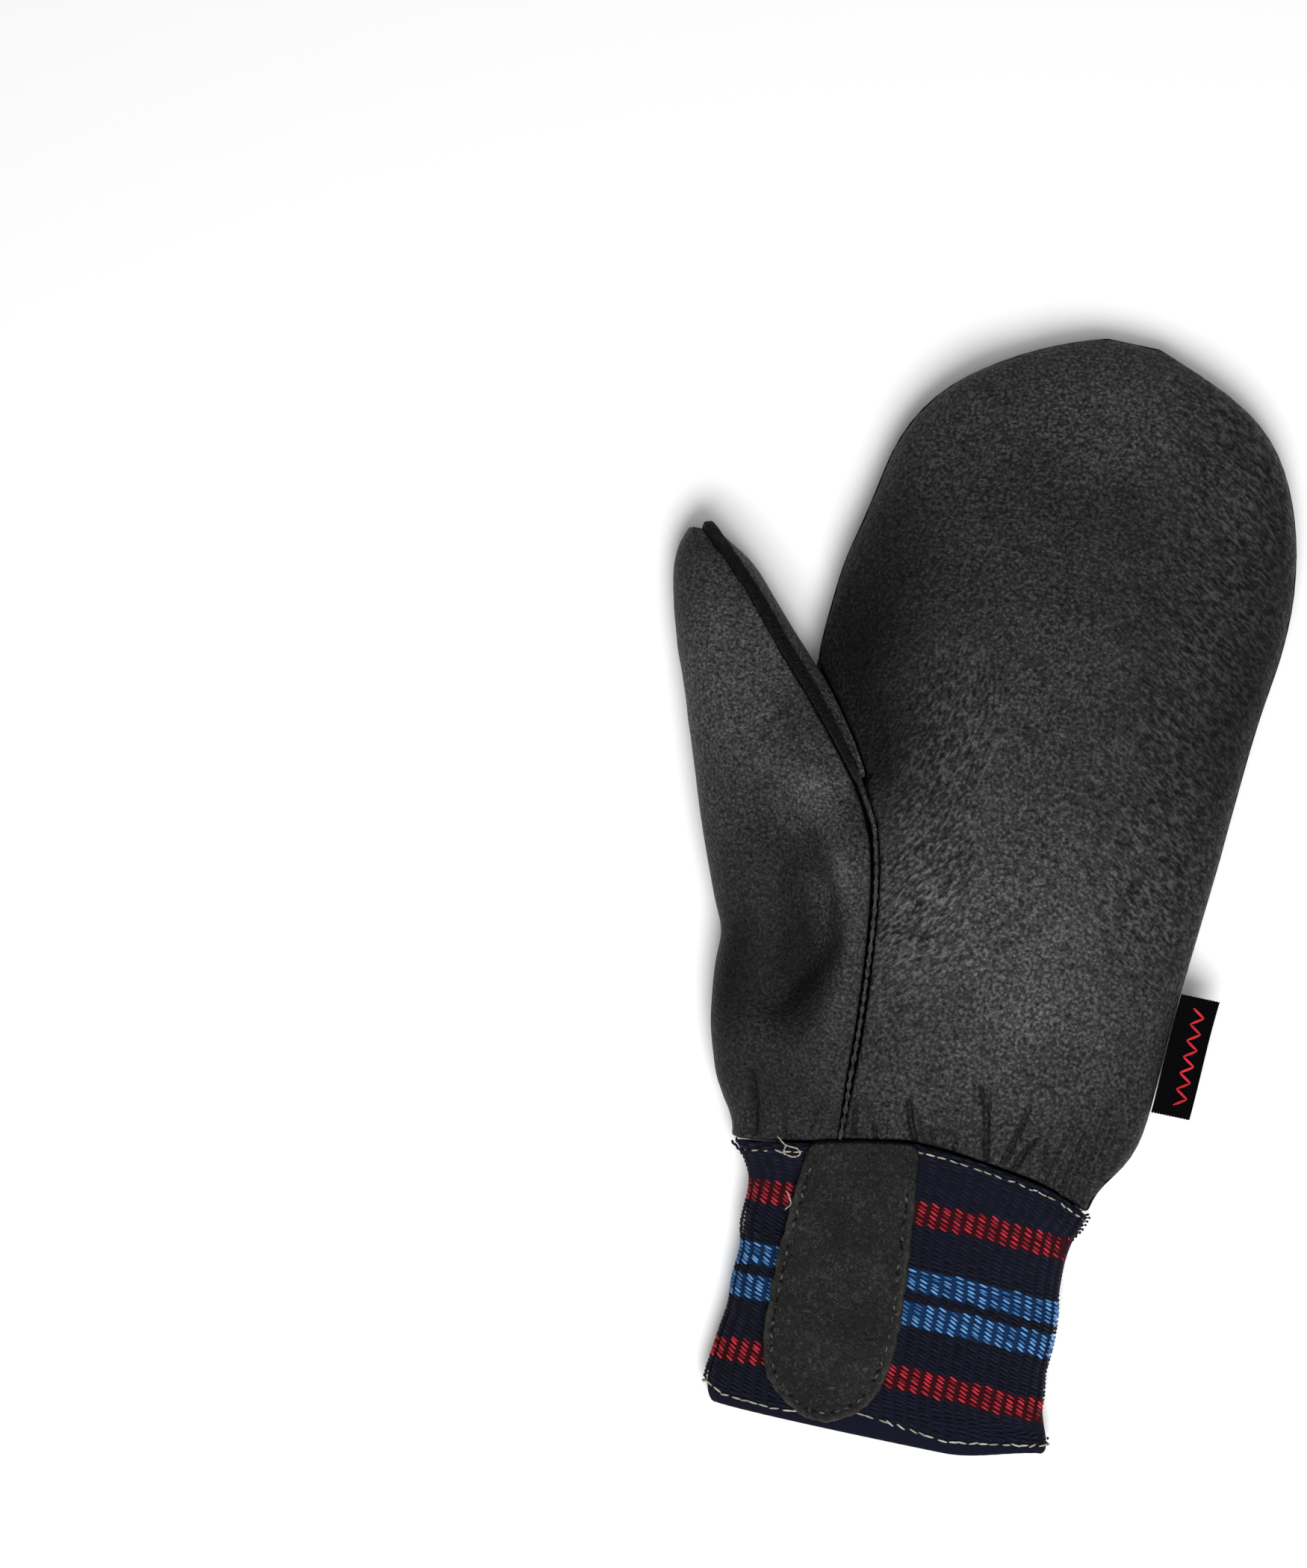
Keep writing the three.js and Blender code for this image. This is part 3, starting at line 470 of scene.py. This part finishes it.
def sewn_leather(node, seed, material, folds=(), forms=(), roll=1.1, wall=1.3, slack=0.4, top=True,
                 even=None):
    """A panel as it is sewn: its outer sheet with slack, gathers at the wrist, folds, broad forms and edges
    that roll in over `roll` mm, `wall` mm thick at its rim, and its inner sheet as the flesh side."""
    piece = sheet_of(copy_of(node, node + "_leather"), seed)
    subdivide(piece, 3)
    points, out = points_of(piece), outward(piece)
    reach, edge = edge_reach(piece)
    rise = slack * np.minimum(1, reach / 6) * (relief(points, 17, 3.1) + 0.45 * relief(points, 7, 5.7))
    rise += 0.8 * slack * np.exp(-reach / 3.5) * relief(edge, 1.7, 9.2)
    near_wrist = np.exp(-np.maximum(points[:, 1] - 6, 0) / 14)
    rise += 0.2 * near_wrist * relief(points * [1, 0.16, 0.4], 2.6, 2.2)
    creases = folded(points, folds)
    rise += creases + swollen(points, forms) * np.minimum(1, reach / 5)
    drop = roll - np.sqrt(np.maximum(roll ** 2 - (roll - np.minimum(reach, roll)) ** 2, 0))
    points = points + out * (rise - drop)[:, None]
    if top:
        flow, pull = pull_of(points)
        rows = pull * (0.3 + 0.7 * smooth(points[:, 0], 16, 40)) * np.minimum(1, reach / 4)
        points = points + out * (0.25 * rows * relief(flow, 2.0, 8.8))[:, None]
        mark = piece.data.attributes.new("flow", "FLOAT_VECTOR", "POINT")
        mark.data.foreach_set("vector", flow.astype(np.float32).ravel())
        measure_onto(piece, "pull", pull)
    points[:, 2] = np.maximum(points[:, 2], 0)
    # Painted shade: the colour is darkened down in the creases, where shade falls.
    painted_crease_shade = 0.45 + 0.55 * np.exp(np.minimum(creases, 0) / 0.5)
    measure_onto(piece, "painted_light_and_wear", wear_and_painted_light_of(points, even) * painted_crease_shade)
    put_points(piece, points)
    if wall:
        modify(piece, "SOLIDIFY", thickness=wall / 1000, offset=-1, use_rim=True, use_rim_only=True)
    flesh = sheet_of(sheet_of(copy_of(node, node + "_inside"), seed, keep=False), inside_seed[node])
    subdivide(flesh, 1)
    under = points_of(flesh)
    deeper = (1.0 - swollen(under, forms)) * np.minimum(1, edge_reach(flesh)[0] / 5)
    put_points(flesh, under + outward(flesh) * deeper[:, None])
    pick(flesh)
    piece.select_set(True)
    bpy.context.view_layer.objects.active = piece
    bpy.ops.object.join()
    points = points_of(piece)
    points[:, 2] = np.maximum(points[:, 2], 0)
    put_points(piece, points)
    pick(piece)
    bpy.ops.object.shade_smooth()
    piece.data.materials.clear()
    piece.data.materials.append(material)
    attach(piece, "root")
    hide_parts(node)
    return piece


inside_seed = {
    "palm_panel": (10, 80, 33),
    "back_panel": (0, 80, 1.6),
    "thumb_outer": (-78, 110, 22),
    "thumb_inner": (-60, 128, 20),
}

# A row of small gathers at the right of the wrist seam, then the larger ones one by one.
fine_gathers = [([(x, 6.5 - 0.003 * x * x), (x + 1.5, 14), (x + 3.5, 22 + 9 * chance.random())],
                 0.85, 0.3 + 0.2 * chance.random()) for x in np.arange(33.5, 50, 2.1)]
palm_folds = [(way, width, 1.6 * depth) for way, width, depth in fine_gathers + [
    ([(-11, 7), (-12.5, 12)], 0.7, 0.6),
    ([(-1, 8.5), (-3, 13), (-5.8, 20.5)], 1.0, 1.1),
    ([(1, 8.5), (-1.5, 14), (-3, 18)], 0.6, 0.5),
    ([(4.2, 8), (1.5, 14)], 0.7, 0.6),
    ([(17.3, 8), (16, 14), (14.3, 21), (11, 28)], 1.0, 1.0),
    ([(15, 21), (13.3, 28)], 0.7, 0.4),
    ([(21.5, 8), (23.6, 16), (25, 26)], 0.9, 0.8),
    ([(25, 7.5), (26.3, 12), (29, 17)], 0.9, 1.0),
    ([(33, 8), (30.5, 17)], 0.7, 0.6),
    ([(-17, 8), (-18, 16)], 0.8, 0.5),
    ([(9, 8), (8.5, 13)], 0.7, 0.5),
]]
# Hollows and crests of the thumb's heel, from the wrist up: a way, its reach on either side, and its rise.
thumb_forms = [
    ([(-43, 38), (-38, 47), (-36, 55), (-38.5, 64)], 9.0, 4.2, -3.0),
    ([(-40, 66), (-46, 78), (-54, 88)], 6.0, 4.2, -1.9),
    ([(-33, 28), (-28.5, 42), (-26.5, 54), (-29, 65), (-36, 78), (-46, 95)], 4.0, 4.0, 1.7),
    ([(-62, 50), (-52, 57)], 5.0, 5.0, -0.9),
]
thumb_folds = [
    ([(-41.5, 3), (-43, 10), (-46, 19)], 1.5, 1.1),
    ([(-34, 3), (-35, 9)], 0.8, 0.5),
    ([(-28, 6), (-27, 14)], 0.8, 0.5),
    ([(-60.5, 104), (-57, 109), (-53.5, 113)], 0.5, 0.35),
    ([(-58, 101), (-55, 106)], 0.45, 0.3),
    ([(-56, 114), (-62, 117.5), (-69, 121)], 0.5, 0.3),
    ([(-60, 112), (-66, 116), (-72, 119)], 0.5, 0.25),
    ([(-48, 92), (-43, 88), (-38, 83)], 0.6, 0.3),
    ([(-60, 76), (-58.5, 80)], 0.5, 0.4),
    ([(-52, 78), (-49, 73), (-46, 68)], 0.6, 0.25),
    ([(-35, 90), (-33, 84), (-34, 79)], 0.5, 0.25),
]
back_folds = [
    ([(-8, 6), (-9, 22), (-7, 44)], 1.6, 0.9),
    ([(24, 6), (25, 20), (23, 38)], 1.6, 0.8),
    ([(8, 5), (8, 16)], 1.1, 0.5),
    ([(-24, 5), (-23, 18)], 1.1, 0.5),
    ([(38, 5), (38, 15)], 1.1, 0.4),
]
palm = sewn_leather("palm_panel", (10, 80, 35), palm_leather, palm_folds)
back = sewn_leather("back_panel", (0, 80, 0), back_leather, back_folds, top=False)
thumb_outer = sewn_leather("thumb_outer", (-80, 110, 22), thumb_leather, thumb_folds, thumb_forms, top=False)
thumb_inner = sewn_leather(
    "thumb_inner", (-60, 128, 22), thumb_leather, roll=0, wall=0, slack=0.15, top=False, even=1.6)


def welt_strip():
    """The welt: a strip pinched by its stitches, with painted shadow, near black, in its groove where it
    faces up beside the thumb.
    """
    piece = copy_of("thumb_welt", "thumb_seam_welt")
    edit(piece, "EDGE")
    bpy.ops.mesh.select_all(action="SELECT")
    bpy.ops.transform.edge_crease(value=0.5)
    deselect()
    subdivide(piece, 3)
    points, out = points_of(piece), outward(piece)
    low = np.clip((96 - points[:, 1]) / 25, 0, 1)
    points[:, :2] += out[:, :2] * 0.3 * smooth(points[:, 1], 92, 106)[:, None]
    pinch = 0.16 * (0.4 + low) * np.sin(points[:, 1] * 2 * pi / 3.2 + 1.5 * relief(points, 6))
    points = points + out * (pinch + 0.12 * relief(points, 1.3))[:, None]
    put_points(piece, points)
    # Painted shadow: where the welt faces up in its groove near the thumb's tip, its colour is made near
    # black.
    painted_groove_shadow = smooth(points[:, 1], 88, 100) * smooth(out[:, 2], 0.1, 0.6)
    measure_onto(piece, "painted_light_and_wear", (0.9 - 0.88 * painted_groove_shadow) * (1 + 0.3 * relief(points, 5, 4)))
    pick(piece)
    bpy.ops.object.shade_smooth()
    piece.data.materials.append(welt_leather)
    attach(piece, "root")
    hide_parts("thumb_welt")
    return piece


welt = welt_strip()


# Knit wrist

LONG, HALF, DEEP = 67.5, 41.5, 23  # from its seam to its hem, half its width and its height
SEAM = 0.42  # how high its sides are, as a share of its height
ROUND = 14  # how far in from its sides its underside is rounded
RISE_LEFT, RISE_RIGHT = 40.3, 45.6  # how far in from each side its top comes to its full height
SWELL = 2.15  # power of its cross section's curve
RIBS = 59
COURSE = 1.02  # height of one row of loops
# Share of the way down, then the left and right edge in half widths and the height in depths.
WRIST = np.array([
    (0.0, -1.125, 1.12, 1.09), (0.07, -1.0, 1.09, 1.03), (0.15, -0.947, 1.031, 1.0),
    (0.3, -0.955, 1.035, 0.98), (0.41, -0.925, 1.065, 0.98), (0.52, -0.935, 1.075, 0.96),
    (0.62, -0.925, 1.065, 0.95), (0.72, -0.945, 1.085, 0.93), (0.83, -0.965, 1.095, 0.9),
    (0.92, -0.978, 1.17, 0.87), (1.0, -0.92, 1.18, 0.84)])
# Share of the seam's bow towards the fingers, by the place across in half widths.
BOW = np.array([(-1.12, 0), (-0.67, 0.4), (-0.3, 0.8), (0, 1), (0.48, 0.8), (0.85, 0.5), (1.12, 0)])


def read(table, column, place):
    """A column of a table at a place of its first column, along a curve that never overshoots."""
    x, y = table[:, 0], table[:, column]
    slope = np.diff(y) / np.diff(x)
    before, after = slope[:-1], slope[1:]
    total = np.where(before + after == 0, 1, before + after)
    inner = np.where(before * after > 0, 2 * before * after / total, 0)
    lean = np.concatenate([slope[:1], inner, slope[-1:]])
    place = np.clip(place, x[0], x[-1])
    i = np.clip(np.searchsorted(x, place, side="right") - 1, 0, len(x) - 2)
    step = x[i + 1] - x[i]
    t = (place - x[i]) / step
    eased = y[i] + t * t * (3 - 2 * t) * (y[i + 1] - y[i])
    return eased + t * (1 - t) * step * (lean[i] * (1 - t) - lean[i + 1] * t)


def bulge(distance):
    return (1 - (1 - np.clip(distance, 0, 1)) ** SWELL) ** (1 / SWELL)


def wrist_skin(rows=170, columns=RIBS * 8):
    """The wrist's middle surface: rows from its seam down to the hem, columns round it from the thumb's
    side."""
    skin = np.empty((rows, columns, 3))
    for i, down in enumerate(np.linspace(0, 1, rows)):
        left = float(read(WRIST, 1, down)) * HALF
        right = float(read(WRIST, 2, down)) * HALF
        deep = float(read(WRIST, 3, down)) * DEEP
        x = left + (right - left) * (1 - np.cos(np.linspace(0, pi, 400))) / 2
        crown = bulge((x - left) / RISE_LEFT) * bulge((right - x) / RISE_RIGHT)
        over = (SEAM + (1 - SEAM) * crown) * deep
        under = SEAM * deep * (1 - bulge((x - left) / ROUND) * bulge((right - x) / ROUND))
        line = []
        for z, rise, order in ((over, 9, 1), (under, 3, -1)):
            fade = 1 - 0.75 * smooth(down, 0, 0.25) - 0.25 * smooth(down, 0.74, 1)
            corner = 4.5 * smooth(x, 0.55 * HALF, 1.2 * HALF) * smooth(down, 0.8, 1)
            y = -down * LONG + read(BOW, 1, x / HALF) * rise * fade + corner
            line.append(np.stack([x, y, z], axis=1)[::order])
        line = np.concatenate(line)
        run = np.concatenate([[0], np.cumsum(np.linalg.norm(np.diff(line, axis=0), axis=1))])
        want = np.linspace(0, run[-1], columns, endpoint=False)
        skin[i] = np.stack([np.interp(want, run, line[:, k]) for k in range(3)], axis=1)
    return skin


skin = wrist_skin()
# The rows of loops bow as well: the share of the bow by the place across, and the bow by the place along.
course_bow = np.array([
    (-45, 0), (-38, 0.03), (-20, 0.55), (-5, 0.92), (5, 1), (20, 0.95), (40, 0.5), (48, 0.35)])
course_rise = np.array([(-67.5, 0.8), (-60, 2.2), (-50, 2.5), (-25, 2.5), (-8, 3.6), (9, 3.6)])


def course_of(points):
    """How far down the knit a point is, counted in rows of loops and not from the bowed seam."""
    over = 0.35 + 0.65 * smooth(points[..., 2], 3, 14)
    rise = np.interp(points[..., 1], course_rise[:, 0], course_rise[:, 1])
    return points[..., 1] - over * rise * np.interp(points[..., 0], course_bow[:, 0], course_bow[:, 1])


# Stripes, as the course at which each begins and ends.
STRIPES = [("red", -9.0, -14.6), ("blue", -25.0, -30.6), ("blue", -33.4, -39.4), ("red", -50.0, -55.7)]
# The hem's stitches wander: how far along they lie, by the place across.
hem_line = np.array([
    (-45, -62.0), (-39, -62.5), (-35, -64.3), (-20, -64.8), (-10, -63), (-2, -61.3), (10, -62.5),
    (22, -64), (35, -62.2), (49, -60.2)])


def hem_at(points):
    """How far along the hem's stitches lie at the places across of some points."""
    top = smooth(points[..., 2], 3, 12)
    wavy = np.interp(points[..., 0], hem_line[:, 0], hem_line[:, 1])
    level = np.interp(points[..., 0], [-40, 0, 49], [-62.5, -62.5, -60])
    return top * wavy + (1 - top) * level


def frames_along(column):
    """Points down one column of the skin with the directions along it and out of it."""
    here = skin[:, column]
    along = np.gradient(here, axis=0)
    round_it = skin[:, (column + 2) % skin.shape[1]] - skin[:, column - 2]
    out = np.cross(along, round_it)
    along, out = (way / np.linalg.norm(way, axis=1, keepdims=True) for way in (along, out))
    return here, along, out


loops = {"navy": [], "red": [], "blue": []}
for rib in range(RIBS):
    here, along, out = frames_along((2 * rib + 1) * skin.shape[1] // (2 * RIBS))
    course = course_of(here)
    places = np.arange(9, -66, -COURSE) + 0.25 * chance.standard_normal()

    def wobble(place, seed=rib * 7.3):
        slow = noise.noise(Vector((seed, place / 7, 0)))
        quick = noise.noise(Vector((seed, place / 1.5, 5)))
        return 0.22 * slow + 0.1 * quick

    for place in places[(places < course[0] - 0.5) & (places > course[-1])]:
        at = [np.array([np.interp(-place, -course, part[:, k]) for k in range(3)])
              for part in (here, along, out)]
        if at[0][1] < hem_at(at[0]) + 0.7:
            continue
        stripe = next((colour for colour, top, foot in STRIPES if foot < place < top), "navy")
        across = np.cross(at[2], at[1])
        # The yarn's spin turns the loops: one leg of each lies broad across its rib and hides the other.
        # By the seam the sides of the wrist swell, and the loops stand out with them.
        level = abs(at[2][2])
        lift = 0.15 + 0.11 * level + 0.75 * (1 - level) * float(smooth(at[0][1], -13, -6))
        uneven = across * (wobble(place) - 0.05) + at[1] * 0.1 * chance.standard_normal()
        middle = at[0] + at[2] * lift + uneven
        middle[2] = max(middle[2], 0.42)
        leg = across * (0.92 + 0.08 * chance.standard_normal()) + at[1] * 0.42
        loops[stripe].append((middle, leg, at[2]))
wrist_pieces = []
for colour, material in (("navy", navy_yarn), ("red", red_yarn), ("blue", blue_yarn)):
    middles, alongs, outs = (np.array(part) for part in zip(*loops[colour]))
    one_leg = strand("one_leg", width=0.68, length=2.5, height=0.8)
    wrist_pieces.append(sown(one_leg, middles, turns_of(alongs, outs), "wrist_loops_" + colour))
    wrist_pieces[-1].data.materials.append(material)

ground = copy_of("knit_cuff", "wrist_ground")
subdivide(ground, 2)
points = points_of(ground)
facing = outward(ground)
points = points - facing * 0.08
points[:, 2] = np.maximum(points[:, 2], 0.3)
put_points(ground, points)
measure_onto(ground, "course", -course_of(points) / LONG)
pick(ground)
bpy.ops.object.shade_smooth()
# The yarn colours darkened as painted shade in the hollows between the ribs.
GROUND_COLOURS_IN_PAINTED_SHADE = {"navy": "#121424", "red": "#38090f", "blue": "#11325a"}
stripes = [(0.0, GROUND_COLOURS_IN_PAINTED_SHADE["navy"])]
for colour, top, foot in STRIPES:
    stripes += [(-top / LONG, GROUND_COLOURS_IN_PAINTED_SHADE[colour]), (-foot / LONG, GROUND_COLOURS_IN_PAINTED_SHADE["navy"])]
ground.data.materials.append(base_knit(stripes))
wrist_pieces.append(ground)
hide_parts("knit_cuff")


def stitched(name, way, out, material, pitch, length, width, height, loose=0.12, missing=0.0):
    """Short stitches along a way of points, with the directions out at its points. Each is `loose` out of
    line, and a share of them may be missing."""
    run = np.concatenate([[0], np.cumsum(np.linalg.norm(np.diff(way, axis=0), axis=1))])
    count = max(2, int(run[-1] / pitch))
    want = (np.arange(count) + 0.5) * run[-1] / count
    want = want + pitch * 0.12 * chance.standard_normal(count)
    want = want[chance.random(count) >= missing]
    here = np.stack([np.interp(want, run, way[:, k]) for k in range(3)], axis=1)
    ends = [np.stack([np.interp(want + step, run, way[:, k]) for k in range(3)], axis=1)
            for step in (-0.8, 0.8)]
    ahead = ends[1] - ends[0]
    facing = np.stack([np.interp(want, run, out[:, k]) for k in range(3)], axis=1)
    ahead = ahead / np.linalg.norm(ahead, axis=1, keepdims=True)
    ahead = ahead + loose * chance.standard_normal(ahead.shape)
    piece = sown(strand("one_stitch", width, length, height, 8, 6), here, turns_of(ahead, facing), name)
    piece.data.materials.append(material)
    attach(piece, "root")
    return piece


def line_on_wrist(below=None):
    """A way round the wrist: at the hem stitches, or a distance below the seam."""
    way, facing = [], []
    for column in range(0, skin.shape[1], 2):
        here, along, out = frames_along(column)
        level = here[:, 1] - (hem_at(here) if below is None else here[0, 1] - below)
        k = np.interp(0, -level, np.arange(len(level)))
        way.append([np.interp(k, np.arange(len(level)), here[:, i]) for i in range(3)])
        facing.append([np.interp(k, np.arange(len(level)), out[:, i]) for i in range(3)])
    way, facing = np.array(way + way[:1]), np.array(facing + facing[:1])
    way = way + facing * (0.12 + 0.3 * np.abs(facing[:, 2:]))
    way[:, 2] = np.maximum(way[:, 2], 0.3)
    return way, facing


top_way, top_out = line_on_wrist(2.2)
hem_way, hem_out = line_on_wrist()
stitched("wrist_top_stitches", top_way, top_out, cream_thread, pitch=3.0, length=2.5, width=0.52, height=0.45)
stitched("hem_stitches", hem_way, hem_out, cream_thread, pitch=2.7, length=2.65, width=0.52, height=0.5,
         loose=0.16)


def loose_thread(name, way):
    """The end of the seam's thread, pulled out of its stitches: a plied strand along a few points on the
    wrist."""
    way = np.column_stack([np.arange(len(way)), np.array(way, float)])
    steps = np.linspace(0, len(way) - 1, 60)
    line = np.stack([read(way, k, steps) for k in (1, 2, 3)], axis=1)
    up = np.tile([0.0, 0.0, 1.0], (len(steps), 1))
    return stitched(name, line, up, cream_thread, pitch=0.42, length=0.95, width=0.36, height=0.36)


loose_thread("loose_thread_loop", [
    (-35.5, 3.2, 25.2), (-33, 1.6, 26.4), (-30.3, 1.4, 26.9), (-29.2, 0.2, 26.9), (-31, -0.9, 26.7),
    (-33.4, -0.3, 26.4), (-33.2, 1.4, 26.4)])
loose_thread("loose_thread_end", [
    (-30.6, -9.6, 26.2), (-29.6, -11, 26.6), (-28.9, -12.6, 26.6), (-29.9, -14.2, 26.1)])
for piece in wrist_pieces:
    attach(piece, "root")


# Pull tab

TAB_SEAM = 2.2  # how far in from the tab's edge the groove of its stitches lies
EDGE_ROUND = 0.7  # radius of its edge


def tab_layer(name, wide, drop, wall):
    """One of the tab's two layers, `wide` mm larger all round and `drop` mm lower than the CAD's top face,
    `wall` mm thick, pressed in along its stitches and with a scuffed, wavy edge."""
    piece = sheet_of(copy_of("pull_tab", name), (-12, -30, 30))
    subdivide(piece, 3)
    points, out = points_of(piece), outward(piece)
    reach, edge = edge_reach(piece)
    free = smooth(-points[:, 1], 0, 6)
    pucker = 0.1 * relief(points, 1.6, 4) + 0.22 * relief(points, 9, 8)
    seam = -0.42 * np.exp(-((reach - TAB_SEAM) / 0.6) ** 2) + 0.1 * relief(edge, 1.9, 6) * np.exp(-reach / 2)
    short = EDGE_ROUND - np.minimum(reach, EDGE_ROUND)
    soft = EDGE_ROUND - np.sqrt(np.maximum(EDGE_ROUND ** 2 - short ** 2, 0))
    points = points + out * (pucker * np.minimum(1, reach / 3) + seam - soft - drop)[:, None]
    centre = np.array([-12.5, -25.0])
    grow = points[:, :2] - centre
    grow /= np.linalg.norm(grow, axis=1, keepdims=True) + 1e-9
    wavy = (wide + 0.45 * relief(edge, 1.9, 3)) * np.exp(-reach / 1.5) * free
    points[:, :2] += grow * wavy[:, None]
    put_points(piece, points)
    rim = np.clip(1.1 * np.exp(-reach / 0.6) * free, 0, 1)
    measure_onto(piece, "rim", rim * (0.6 + 0.8 * relief(edge, 2.5, 7)))
    modify(piece, "SOLIDIFY", thickness=wall / 1000, offset=-1)
    pick(piece)
    bpy.ops.object.shade_smooth()
    piece.data.materials.append(tab_leather)
    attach(piece, "root")
    return piece, points, reach


upper, upper_points, upper_reach = tab_layer("pull_tab_upper", 0.0, 0.0, 1.2)
lower, _, _ = tab_layer("pull_tab_lower", 0.35, 1.5, 1.0)
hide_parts("pull_tab")


def tab_stitch_way():
    """The stitches' way round the tab, 2.3 mm in from its edge, down one side and up the other."""
    near = np.abs(upper_reach - 2.3) < 0.45
    ring = upper_points[near & (upper_points[:, 1] < 5)]
    middle = np.array([-12.5, -20.0])
    turn = np.arctan2(ring[:, 0] - middle[0], -(ring[:, 1] - middle[1]))
    bins = np.linspace(-2.55, 2.55, 90)
    way = []
    for low, high in zip(bins[:-1], bins[1:]):
        inside = ring[(turn >= low) & (turn < high)]
        if len(inside):
            way.append(inside.mean(axis=0))
    way = np.array(way)
    way[:, 2] += 0.3
    return way


way = tab_stitch_way()
up = np.tile([0.0, 0.0, 1.0], (len(way), 1))
stitched("tab_stitches", way, up, grey_thread, pitch=3.6, length=1.5, width=0.6, height=0.5, loose=0.3)
# Painted shadow in the needle holes between the stitches, as black strands just under them.
stitched("tab_needle_hole_shadows", way - [0.0, 0.0, 0.12], up, hole_shadow_black, pitch=2.3, length=1.5, width=0.7,
         height=0.3, loose=0.45, missing=0.3)


# Side tag

TAG_FOOT = 28  # how far along the tag's soft bend begins


def tag_bend(points, low, high):
    """How far the tape lifts: more the further it lies out of its seam."""
    return 0.25 * np.sin((points[:, 1] - TAG_FOOT) / 9) * smooth(points[:, 0], low, high)


tag = copy_of("side_tag", "side_tag_tape")
subdivide(tag, 4, "SIMPLE")
points = points_of(tag)
low, high = points.min(axis=0), points.max(axis=0)
ends = np.minimum(points[:, 1] - low[1], high[1] - points[:, 1])
points[:, 1] += 0.16 * np.sin(points[:, 0] * 2 * pi / 0.75) * np.exp(-ends / 0.3)  # heat-cut ends, toothed
points[:, 2] += tag_bend(points, low[0], high[0])
put_points(tag, points)
modify(tag, "BEVEL", width=0.0002, segments=2, limit_method="ANGLE", angle_limit=radians(50))
pick(tag)
bpy.ops.object.shade_smooth_by_angle(angle=radians(40))
tag.data.materials.append(tape)
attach(tag, "root")
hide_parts("side_tag")

BARS = 12  # of the zigzag embroidered along the tape
steps = np.arange(BARS + 1)
zigzag = np.stack(
    [np.where(steps % 2, 64.6, 61.4), 31.5 + steps * 2.1, np.full(BARS + 1, high[2] + 0.05)], axis=1)
zigzag[:, 2] += tag_bend(zigzag, low[0], high[0])
bars = (zigzag[1:] + zigzag[:-1]) / 2
turns = turns_of(np.diff(zigzag, axis=0), np.tile([0.0, 0.0, 1.0], (BARS, 1)))
one_bar = strand("bar", width=0.7, length=4.0, height=0.3, segments=8, rings=6)
motif = sown(one_bar, bars, turns, "side_tag_zigzag")
motif.data.materials.append(red_thread)
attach(motif, "root")


# Floor, light and camera

deselect()
bpy.ops.mesh.primitive_plane_add(size=6, location=(0, 0, 0))
floor = bpy.context.object
floor.name = "floor"
paper, _, _ = finish(
    "matt white paper", Roughness=0.9, Base_Color=(0.92, 0.92, 0.92, 1), Specular_IOR_Level=0.1)
floor.data.materials.append(paper)


def soft_box(name, place, size, power):
    """A round soft light that faces the middle of the floor."""
    light = bpy.data.lights.new(name, "AREA")
    light.shape = "DISK"
    light.size = size
    light.energy = power
    lamp = bpy.data.objects.new(name, light)
    lamp.location = place
    lamp.rotation_euler = (-Vector(place)).to_track_quat("-Z", "Y").to_euler()
    bpy.context.scene.collection.objects.link(lamp)


soft_box("key", (0.16, -0.62, 1.15), 0.8, 17)
soft_box("overhead", (0.1, 0.0, 1.9), 1.4, 13)
world = bpy.data.worlds.new("studio")
world.use_nodes = True
world.node_tree.nodes["Background"].inputs["Color"].default_value = (1, 1, 1, 1)
world.node_tree.nodes["Background"].inputs["Strength"].default_value = 0.14
bpy.context.scene.world = world
bpy.context.scene.view_settings.view_transform = "Standard"

lens = bpy.data.cameras.new("camera")
lens.sensor_width = 36
lens.lens = 135.3
camera = bpy.data.objects.new("camera", lens)
camera.location = (-0.0729, 0.0079, 1.515)
camera.rotation_euler = (0, 0, radians(12))
bpy.context.scene.collection.objects.link(camera)
bpy.context.scene.camera = camera
